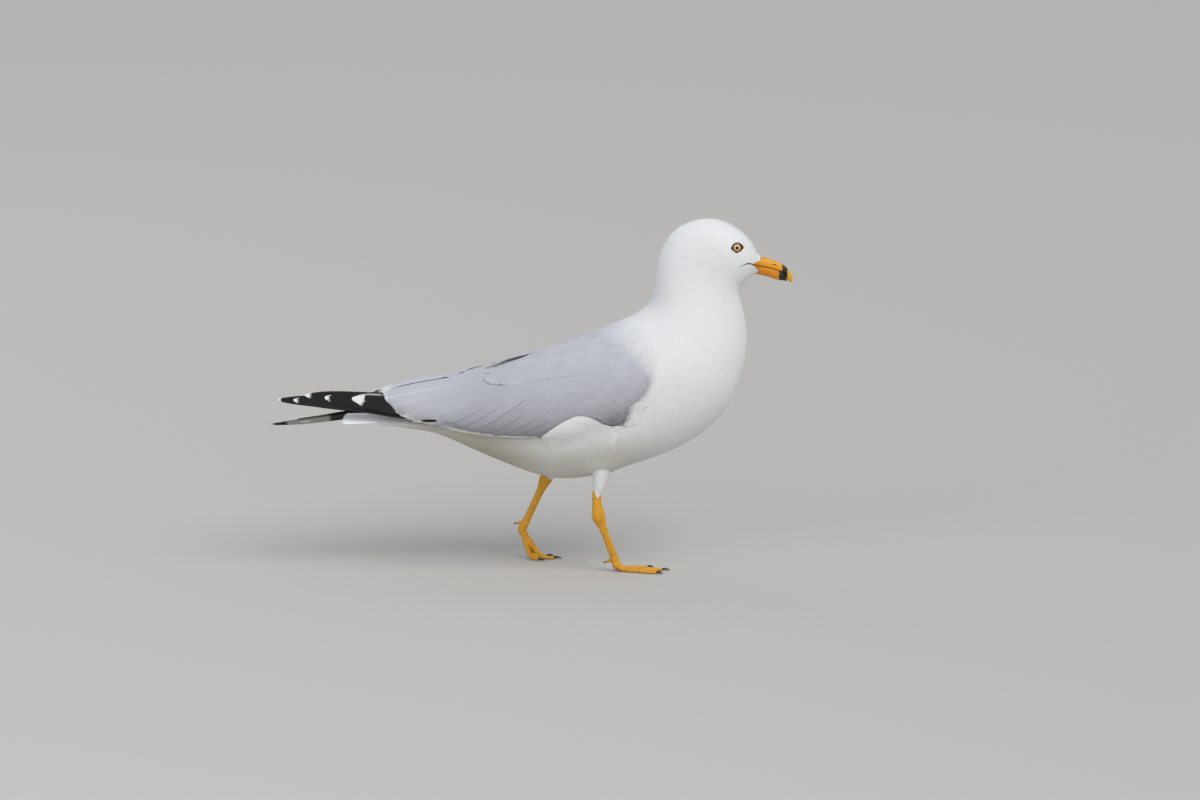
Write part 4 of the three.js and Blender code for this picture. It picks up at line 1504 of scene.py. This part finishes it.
def loftMesh(name, rings, material, colors):
    # A closed tube of rings: both ends are drawn to their centres by three more small rings.
    shares = np.array([0.02, 0.5, 0.85])[:, None, None]
    front, rear = [mixed(ring.mean(0), ring, shares) for ring in (rings[0], rings[-1])]
    full = np.concatenate([front, rings, rear[::-1]])
    tint = np.concatenate([np.repeat(colors[:1], 3, 0), colors, np.repeat(colors[-1:], 3, 0)])
    piece = addMesh(name, place(full), gridFaces(*full.shape[:2]), material)
    addColors(piece, tint)
    return cleaned(piece, 0.004)


hornMaterial = bareMaterial("billHorn", 0.38, 0.12, 300, 0.03, 0.14, gloss=0.35)

# Culmen, cutting edge and lower edge, as [top x, top z, bottom x, bottom z, half width, widest level].
upperStations = [
    (146, 306.3, 144, 298.6, 5.6, 0.75),
    (157, 306.3, 155, 297.9, 5.4, 0.8),
    (166, 303.5, 164.5, 296.0, 4.7, 0.8),
    (174.5, 300, 172.5, 293.6, 3.9, 0.8),
    (180.2, 296, 177.5, 291.0, 3.2, 0.75),
    (184, 291, 180.4, 286.6, 2.5, 0.65),
    (186.3, 285.8, 182.0, 283.0, 1.8, 0.5),
    (186.0, 282.0, 183.4, 281.6, 0.9, 0.5),
]
lowerStations = [
    (144, 299.4, 145, 290.2, 5.0, 0.35),
    (155, 298.5, 154.5, 289.0, 4.9, 0.35),
    (164.5, 296.7, 163, 286.7, 4.25, 0.35),
    (172.5, 294.2, 171, 284.1, 3.5, 0.4),
    (177.3, 291.4, 176.5, 283.3, 2.8, 0.4),
    (179.6, 288.2, 179.3, 282.9, 1.8, 0.45),
    (181.3, 285.2, 181.0, 282.9, 0.8, 0.5),
]


def outlineRings(stations, count, sides, sharp):
    lines = throughPoints(stations, count)
    cosine, sine = np.cos(ringAngles(sides)), np.sin(ringAngles(sides))
    top, low = lines[:, None, 0:2], lines[:, None, 2:4]
    widest = lines[:, 5:6]
    down = np.where(cosine[None] >= 0, widest * (1 - cosine[None]), widest - (1 - widest) * cosine[None])
    at = top + (low - top) * down[..., None]
    bulge = np.sign(sine) * np.abs(sine) ** sharp
    return np.stack([at[..., 0], lines[:, 4:5] * bulge[None], at[..., 1]], -1)


yellow = np.array([0.80, 0.35, 0.010])
ringTint = np.array([0.020, 0.015, 0.014])


def billTint(points, upper):
    x, z = points[..., 0], points[..., 2]
    first, last = (175.4, 181.8) if upper else (172.4, 180.8)
    ragged = 0.22 * np.sin(z * 1.3 + points[..., 1] * 0.7) + 0.10 * np.sin(z * 3.1)
    at = x + ragged
    base = yellow if upper else yellow * [0.90, 0.72, 0.6]
    base = mixed(base * [0.95, 0.9, 0.9], base, ramp(x, 154, 166)[..., None])
    tip = np.array([0.78, 0.42, 0.025])
    ring = np.clip((at - first) / 1.1, 0, 1) * np.clip((last - at) / 1.1, 0, 1)
    color = np.where((at > (first + last) / 2)[..., None], tip, base)
    return mixed(color, ringTint, ring[..., None])


billTrees = []


def addBill():
    for name, stations, sharp in (("billUpper", upperStations, 0.85), ("billLower", lowerStations, 0.9)):
        rings = outlineRings(stations, 150, 56, sharp)
        colors = billTint(rings, name == "billUpper")
        if name == "billUpper":
            # The nostril, a slit on each side, pushed in and painted dark as the shade inside it.
            dx, dz = rings[..., 0] - 168.6, rings[..., 2] - 299.3
            onward = dx * 0.94 - dz * 0.34
            over = dx * 0.34 + dz * 0.94
            slit = np.exp(-((onward / 2.0) ** 4) - (over / 0.42) ** 2)
            slit = slit * (np.abs(rings[..., 1]) > 1.5)
            rings[..., 1] -= np.sign(rings[..., 1]) * 0.8 * slit
            colors = mixed(colors, np.array([0.02, 0.007, 0.003]), np.minimum(1, 1.5 * slit)[..., None])
        piece = loftMesh(name, rings, hornMaterial, colors)
        billTrees.append(treeOf(piece))
        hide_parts("bill_upper" if name == "billUpper" else "bill_lower")


addBill()
print("bill made")

# ---- eyes and their rings ----

eyeMaterial = bareMaterial("eye", 0.12, 0.6, 900, 0.003, 0.14, gloss=0.15, coatRoughness=0.04)
lidMaterial = bareMaterial("eyelid", 0.55, 0.05, 500, 0.04, 0.2)


coatTree = BVHTree.FromPolygons(
    [Vector(p) for p in body.fields[..., 0:3].reshape(-1, 3)],
    [tuple(int(k) for k in face) for face in gridFaces(body.rows, body.columns)],
)


def corneaHeight(r):
    within = corneaBase + corneaBulge * (1 - (r / corneaRadius) ** 2)
    return np.where(r < corneaRadius, within, corneaBase - 1.5 * (r - corneaRadius))


def addEye(side, suffix):
    centre, out, forward, up = eyeFrame(side)
    # The eyeball, with a cornea that stands a little proud.
    r = np.concatenate([np.linspace(0.02, corneaRadius, 26), [4.7, 5.0, 5.3, 5.6, 5.9]])
    h = corneaHeight(r)
    back = np.array([(6.2, 2.2), (6.2, 0), (5.5, -3), (3.5, -5), (0.02, -5.8)])
    r, h = np.concatenate([r, back[:, 0]]), np.concatenate([h, back[:, 1]])
    angle = ringAngles(64)
    ring = ringRays(angle, forward[None], up[None])
    points = centre + ring * r[:, None, None] + out * h[:, None, None]
    pupil, iris = 1.4, 3.6
    pale = np.array([0.84, 0.55, 0.26])
    share = np.clip((r - pupil) / 0.25, 0, 1) * np.clip((iris - r) / 0.3, 0, 1) * (h > 0)
    rays = 1 + 0.10 * np.sin(angle * 23)[None] * np.sin(angle * 7 + 1)[None]
    shade = mixed(0.72, 1.0, np.clip((3.5 - np.abs(r - 2.6) * 2.2) / 3.5, 0, 1))[:, None] * rays
    rim = np.clip((r - 3.5) / 0.4, 0, 1)[:, None, None]
    deep = mixed(np.array([0.002, 0.0015, 0.0015]), np.array([0.05, 0.02, 0.012]), rim)
    tint = mixed(deep, pale * shade[..., None], share[:, None, None])
    ball = loftMesh("eyeball-" + suffix, points, eyeMaterial, tint)
    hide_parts("eye_" + suffix)
    # The lids and the fleshy ring, from their edge on the eyeball out to the skin under the face feathers.
    corner = bell(angle, 0.45) + bell(angle - 2 * np.pi, 0.45)
    opening = 1 / np.hypot(np.cos(angle) / 4.45, np.sin(angle) / 3.85) + 0.55 * corner
    outer = 1 / np.hypot(np.cos(angle) / 5.8, np.sin(angle) / 4.9) + 0.8 * corner
    skirt = outer + 3.2
    lidShare, skirtShare = np.linspace(0, 1, 15)[:, None], np.linspace(0, 1, 9)[1:, None]
    radius = np.concatenate([mixed(opening, outer, lidShare), mixed(outer, skirt, skirtShare)])
    probe = centre + ring * radius[..., None]
    rows, columns = radius.shape
    surface = np.empty((rows, columns))
    reach, unknown = 30, 6.0
    for i in range(rows):
        for j in range(columns):
            hit = coatTree.ray_cast(Vector(place(probe[i, j] + out * reach)), Vector(-out))
            surface[i, j] = (reach * mm - hit[3]) / mm if hit[0] is not None else unknown
    surface = smoothRows(surface, 1, 2.0, True)
    edge = corneaHeight(opening)
    change = np.clip((radius - opening) / (outer + 0.8 - opening), 0, 1)
    smooth = change * change * (3 - 2 * change)
    over = np.clip((radius - opening) / (outer - opening), 0, 1.6)
    plump = 0.42 * bell(over - 0.5, 0.33)
    folds = 0.05 * np.sin(14 * over) * np.exp(-((over - 0.6) ** 2) / 0.2)
    level = mixed(edge[None] + 0.05, surface - 0.12, smooth) + plump + folds
    level[0] -= 0.5
    points = centre + ring * radius[..., None] + out * level[..., None]
    red = np.array([0.26, 0.075, 0.04])
    dark = np.array([0.075, 0.028, 0.017])
    inner = np.clip((over - 0.55) / 0.4, 0, 1)
    outside = np.clip((over - 0.98) / 0.3, 0, 1)
    ahead = bell((angle + 0.45 + np.pi) % (2 * np.pi) - np.pi, 0.5)[None]
    dark = mixed(dark, np.array([0.22, 0.02, 0.010]), ahead[..., None])
    tint = mixed(mixed(dark, red, inner[..., None]), np.array([0.79, 0.65, 0.61]), outside[..., None])
    faces = gridFaces(rows, columns)
    if side > 0:
        faces = faces[:, ::-1]
    lid = addMesh("eyelids-" + suffix, place(points), faces, lidMaterial)
    if np.dot(normalsOf(lid)[columns * 4], out) < 0:
        lid.data.flip_normals()
    addColors(lid, tint)


addEye(-1, "right")
addEye(1, "left")
print("eyes made")


mouth = {
    "upperEdge": [(157.5, 306.0), (155.6, 305.6), (152.6, 304.2), (149.6, 302.6), (146.8, 301.6)],
    "lowerEdge": [(156.8, 289.6), (154.2, 291.6), (151.9, 295.0), (149.4, 298.6), (146.8, 300.6)],
    "slit": [(161, 297.4), (156.5, 298.4), (152, 299.6), (148.5, 300.6), (145.5, 301.2)],
    "line": [(148.6, 300.7), (146.6, 301.9), (143.3, 303.0), (139.6, 302.3), (136, 300.8), (131.5, 298.8)],
}


def sideHit(x, z, side, trees, least):
    # The outermost of some surfaces, seen from the side.
    start = Vector(place((x, side * 60, z)))
    best = least
    for tree in trees:
        hit = tree.ray_cast(start, Vector((0, -side, 0)))
        if hit[0] is not None and hit[0].y * side > 0:
            best = max(best, abs(hit[0].y) / mm)
    return best


def addGape(side, suffix):
    # Bare yellow skin that runs back from the bill to the corner of the mouth, with the mouth's slit in it.
    rows, columns = 34, 31
    upper, lower = throughPoints(mouth["upperEdge"], rows), throughPoints(mouth["lowerEdge"], rows)
    share = np.linspace(0, 1, columns)
    flat = mixed(upper[:, None], lower[:, None], share[None, :, None])
    y = np.array([[sideHit(x, z, side, [coatTree] + billTrees, 2.5) for x, z in row] for row in flat])
    horn = np.array([[sideHit(x, z, side, billTrees, 2.0) for x, z in row] for row in flat])
    y = mixed(y, horn, ramp(flat[..., 0], 152.5, 155))
    y = smoothRows(smoothRows(y, 0, 1.2, False), 1, 1.2, False)
    slit = throughPoints(mouth["slit"], 60)
    gap = np.sqrt(((flat[:, :, None] - slit) ** 2).sum(-1).min(-1))
    back = np.linspace(0, 1, rows)[:, None]
    groove = bell(gap, 0.42) * ramp(back, -0.35, 0.15)
    rim = np.clip(np.minimum(share, 1 - share) / 0.07, 0, 1)[None] * np.clip((1 - back) / 0.06, 0, 1)
    lift = mixed(-0.25, 0.05, np.clip(back * 5, 0, 1)) + 0.33 * ramp(flat[..., 0], 154, 151.5)
    y = y + lift * rim - 0.5 * (1 - rim) - 0.25 * groove
    points = np.stack([flat[..., 0], side * y, flat[..., 1]], -1)
    above = (share[None] < 0.5)[..., None]
    tint = np.where(above, billTint(points, True), billTint(points, False))
    tint = mixed(tint, np.array([0.50, 0.19, 0.03]), np.clip(back * 1.4 - 0.4, 0, 1)[..., None] * 0.6)
    # Painted shade: the mouth's slit is darkened as the shade inside it.
    tint = mixed(tint, np.array([0.10, 0.035, 0.015]), np.minimum(1, groove * 1.2)[..., None])
    faces = gridFaces(rows, columns, False)
    corner = addMesh("mouthCorner-" + suffix, place(points), faces, hornMaterial)
    if normalsOf(corner)[columns * 15 + 8][1] * side < 0:
        corner.data.flip_normals()
    addColors(corner, tint)
    # The dark line that goes on behind it, among the face feathers: dark skin at the front, turning further
    # back into grey painted shade of a crease.
    path = throughPoints(mouth["line"], 40)
    angle = ringAngles(12)
    rings, colors = [], []
    for k, (x, z) in enumerate(path):
        at = k / (len(path) - 1)
        thick = 0.62 * math.sin(math.pi * min(1, 0.2 + 0.8 * at)) ** 0.7 + 0.02
        y = sideHit(x, z, side, [coatTree], 5.0) + 0.02 - 0.15 * at
        ring = np.stack([0 * angle, side * np.sin(angle) * min(0.5, thick * 0.8), np.cos(angle) * thick], -1)
        rings.append(np.array([x, side * y, z]) + ring)
        colors.append(mixed(np.array([0.10, 0.038, 0.024]), white * 0.45, max(0, at - 0.45) * 1.6))
    rings = np.array(rings)
    colors = np.broadcast_to(np.array(colors)[:, None], rings.shape)
    line = loftMesh("gapeLine-" + suffix, rings, lidMaterial, colors)


addGape(-1, "right")
addGape(1, "left")
print("corners of the mouth made")

# ---- legs, feet and claws ----

legMaterial = bareMaterial("legSkin", 0.5, 0.08, 260, 0.11, 0.22, 900)
clawMaterial = bareMaterial("clawHorn", 0.4, 0.2, 400, 0.02, 0.3)
legs = {
    "right": {"ankle": (-1.6, -32, 56.7), "joint": (16.4, -24, 5.8), "heading": 0.03, "side": -1},
    "left": {"ankle": (-52.5, 34, 80), "joint": (-76.5, 28.5, 29), "heading": -0.02, "side": 1},
}
skinTint = np.array([0.73, 0.345, 0.007])
grimeAndShade = np.array([0.30, 0.12, 0.018])


def addLeg(suffix):
    leg = legs[suffix]
    piece = remeshed("leg-" + suffix, ["shank_" + suffix, "foot_" + suffix], 0.55, 7)
    points = pointsOf(piece)
    if suffix == "right":
        # Above the ankle it is a little stouter and leans back.
        up = ramp(points[:, 2] / mm, 62, 78)
        points[:, 0] += (0.12 * (points[:, 0] - shiftX + 2.2 * mm) - 1.6 * mm) * up
        points[:, 1] += 0.10 * (points[:, 1] + 32.4 * mm) * up
        setPoints(piece, points)
    normals = normalsOf(piece)
    raw = rawOf(points)
    ankle, joint = np.array(leg["ankle"]), np.array(leg["joint"])
    axis = (joint - ankle) / np.linalg.norm(joint - ankle)
    along = (raw - ankle) @ axis
    front = np.cross([0.0, 1, 0], axis)
    front *= np.sign(front[0])
    # Broad plates down the front of the lower leg, and rings of plates over each toe.
    plateLength, ringLength, toeHalf = 2.7, 1.9, 2.6
    onShank = (along > -14) & (along < np.linalg.norm(joint - ankle) - 3)
    plate = (along / plateLength) % 1.0
    facing = np.clip((normals @ front) * 1.6 - 0.2, 0, 1)
    lift = np.where(onShank, facing * 0.22 * (plate**0.6 - 0.3), 0)
    groove = np.where(onShank, facing * bell(plate, 0.12), 0)
    away = raw - joint
    ring = (np.linalg.norm(away, axis=1) / ringLength) % 1.0
    upward = np.clip(normals[:, 2] * 1.4, 0, 1)
    for spread in (-0.36, 0.0, 0.34):
        turn = leg["heading"] + leg["side"] * spread
        offset = away[:, 0] * -math.sin(turn) + away[:, 1] * math.cos(turn)
        ahead = away[:, 0] * math.cos(turn) + away[:, 1] * math.sin(turn)
        on = (np.abs(offset) < toeHalf) & (ahead > 1.0) & ~onShank
        lift = np.where(on, upward * 0.20 * (ring**0.6 - 0.3), lift)
        groove = np.where(on, upward * bell(ring, 0.14), groove)
    low = ramp(raw[:, 2], 0.8, 1.6)
    setPoints(piece, points + normals * (lift * low * mm)[:, None])
    knee = bell(np.linalg.norm(raw - ankle, axis=1), 9)
    tint = mixed(skinTint, grimeAndShade, (0.55 * groove)[:, None])
    tint = mixed(tint, skinTint * 1.12, (0.5 * knee)[:, None])
    # Painted shade on the undersides of the toes, near the floor.
    under = np.clip(-normals[:, 2], 0, 1) * ramp(raw[:, 2], 8, 4)
    tint = mixed(tint, grimeAndShade, (0.7 * under)[:, None])
    addColors(piece, tint)
    piece.data.materials.append(legMaterial)
    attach(piece, "root")
    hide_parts("shank_" + suffix, "foot_" + suffix)
    print(piece.name, len(piece.data.polygons) * 2, "triangles")


def addClaws(suffix):
    names = ["claw_" + suffix + "_" + toe for toe in ("hind", "inner", "middle", "outer")]
    claws = joined("claws-" + suffix, [remeshed(name + "-fine", [name], 0.24, 3) for name in names])
    addColors(claws, np.tile([0.022, 0.016, 0.012], (len(claws.data.vertices), 1)))
    claws.data.materials.append(clawMaterial)
    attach(claws, "root")
    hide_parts(*names)


for suffix in ("right", "left"):
    addLeg(suffix)
    addClaws(suffix)

# ---- feathers of the thighs ----


def addThigh(suffix):
    chart = Chart(place(thighRings(suffix, 70, 60, 0)[:, ::-1]))

    def spacing(s, a, points):
        return (1.7 - 0.9 * s) * mm

    def keep(s, a, points):
        return (s > 0.2) & (s < 0.78)

    tries = 30000
    s, a, points = scatter(chart, spacing, keep, tries)
    count = len(s)
    u = np.array([0, 0.1, 0.25, 0.5, 0.75, 1.0])
    size = spacing(s, a, points)
    # Painted shade: the white is darker at the top, where the thigh goes in under the belly.
    shade = mixed(0.80, 0.96, ramp(s, 0.25, 0.6))
    vanes = {
        "length": size * 6.4 * rng.uniform(0.85, 1.2, count),
        "width": size * 2.8 * rng.uniform(0.85, 1.15, count),
        "tint": white * (shade + rng.normal(0, 0.01, count))[:, None],
        "low": np.full(count, -0.45 * mm),
        "high": (0.03 + rng.uniform(0, 0.04, count)) * mm,
    }
    shape = {**softShape, "u": u, "widest": 0.5, "taper": 0.72, "camber": 0.01, "slope": 0.2, "soft": 0.9}
    # At the top they lie back as the belly's do, and lower down they follow the leg.
    back = headingOf(chart, s, a, np.array([-0.9, 0, -0.44])) * (1 - np.clip((s - 0.2) / 0.35, 0, 1))
    lines = tracedLines(chart, s, a, back + rng.normal(0, 0.10, count), vanes["length"], u, 0.12)
    layVanes("thighCoat-" + suffix, chart, coatMaterial, lines, vanes, shape)


addThigh("right")
addThigh("left")
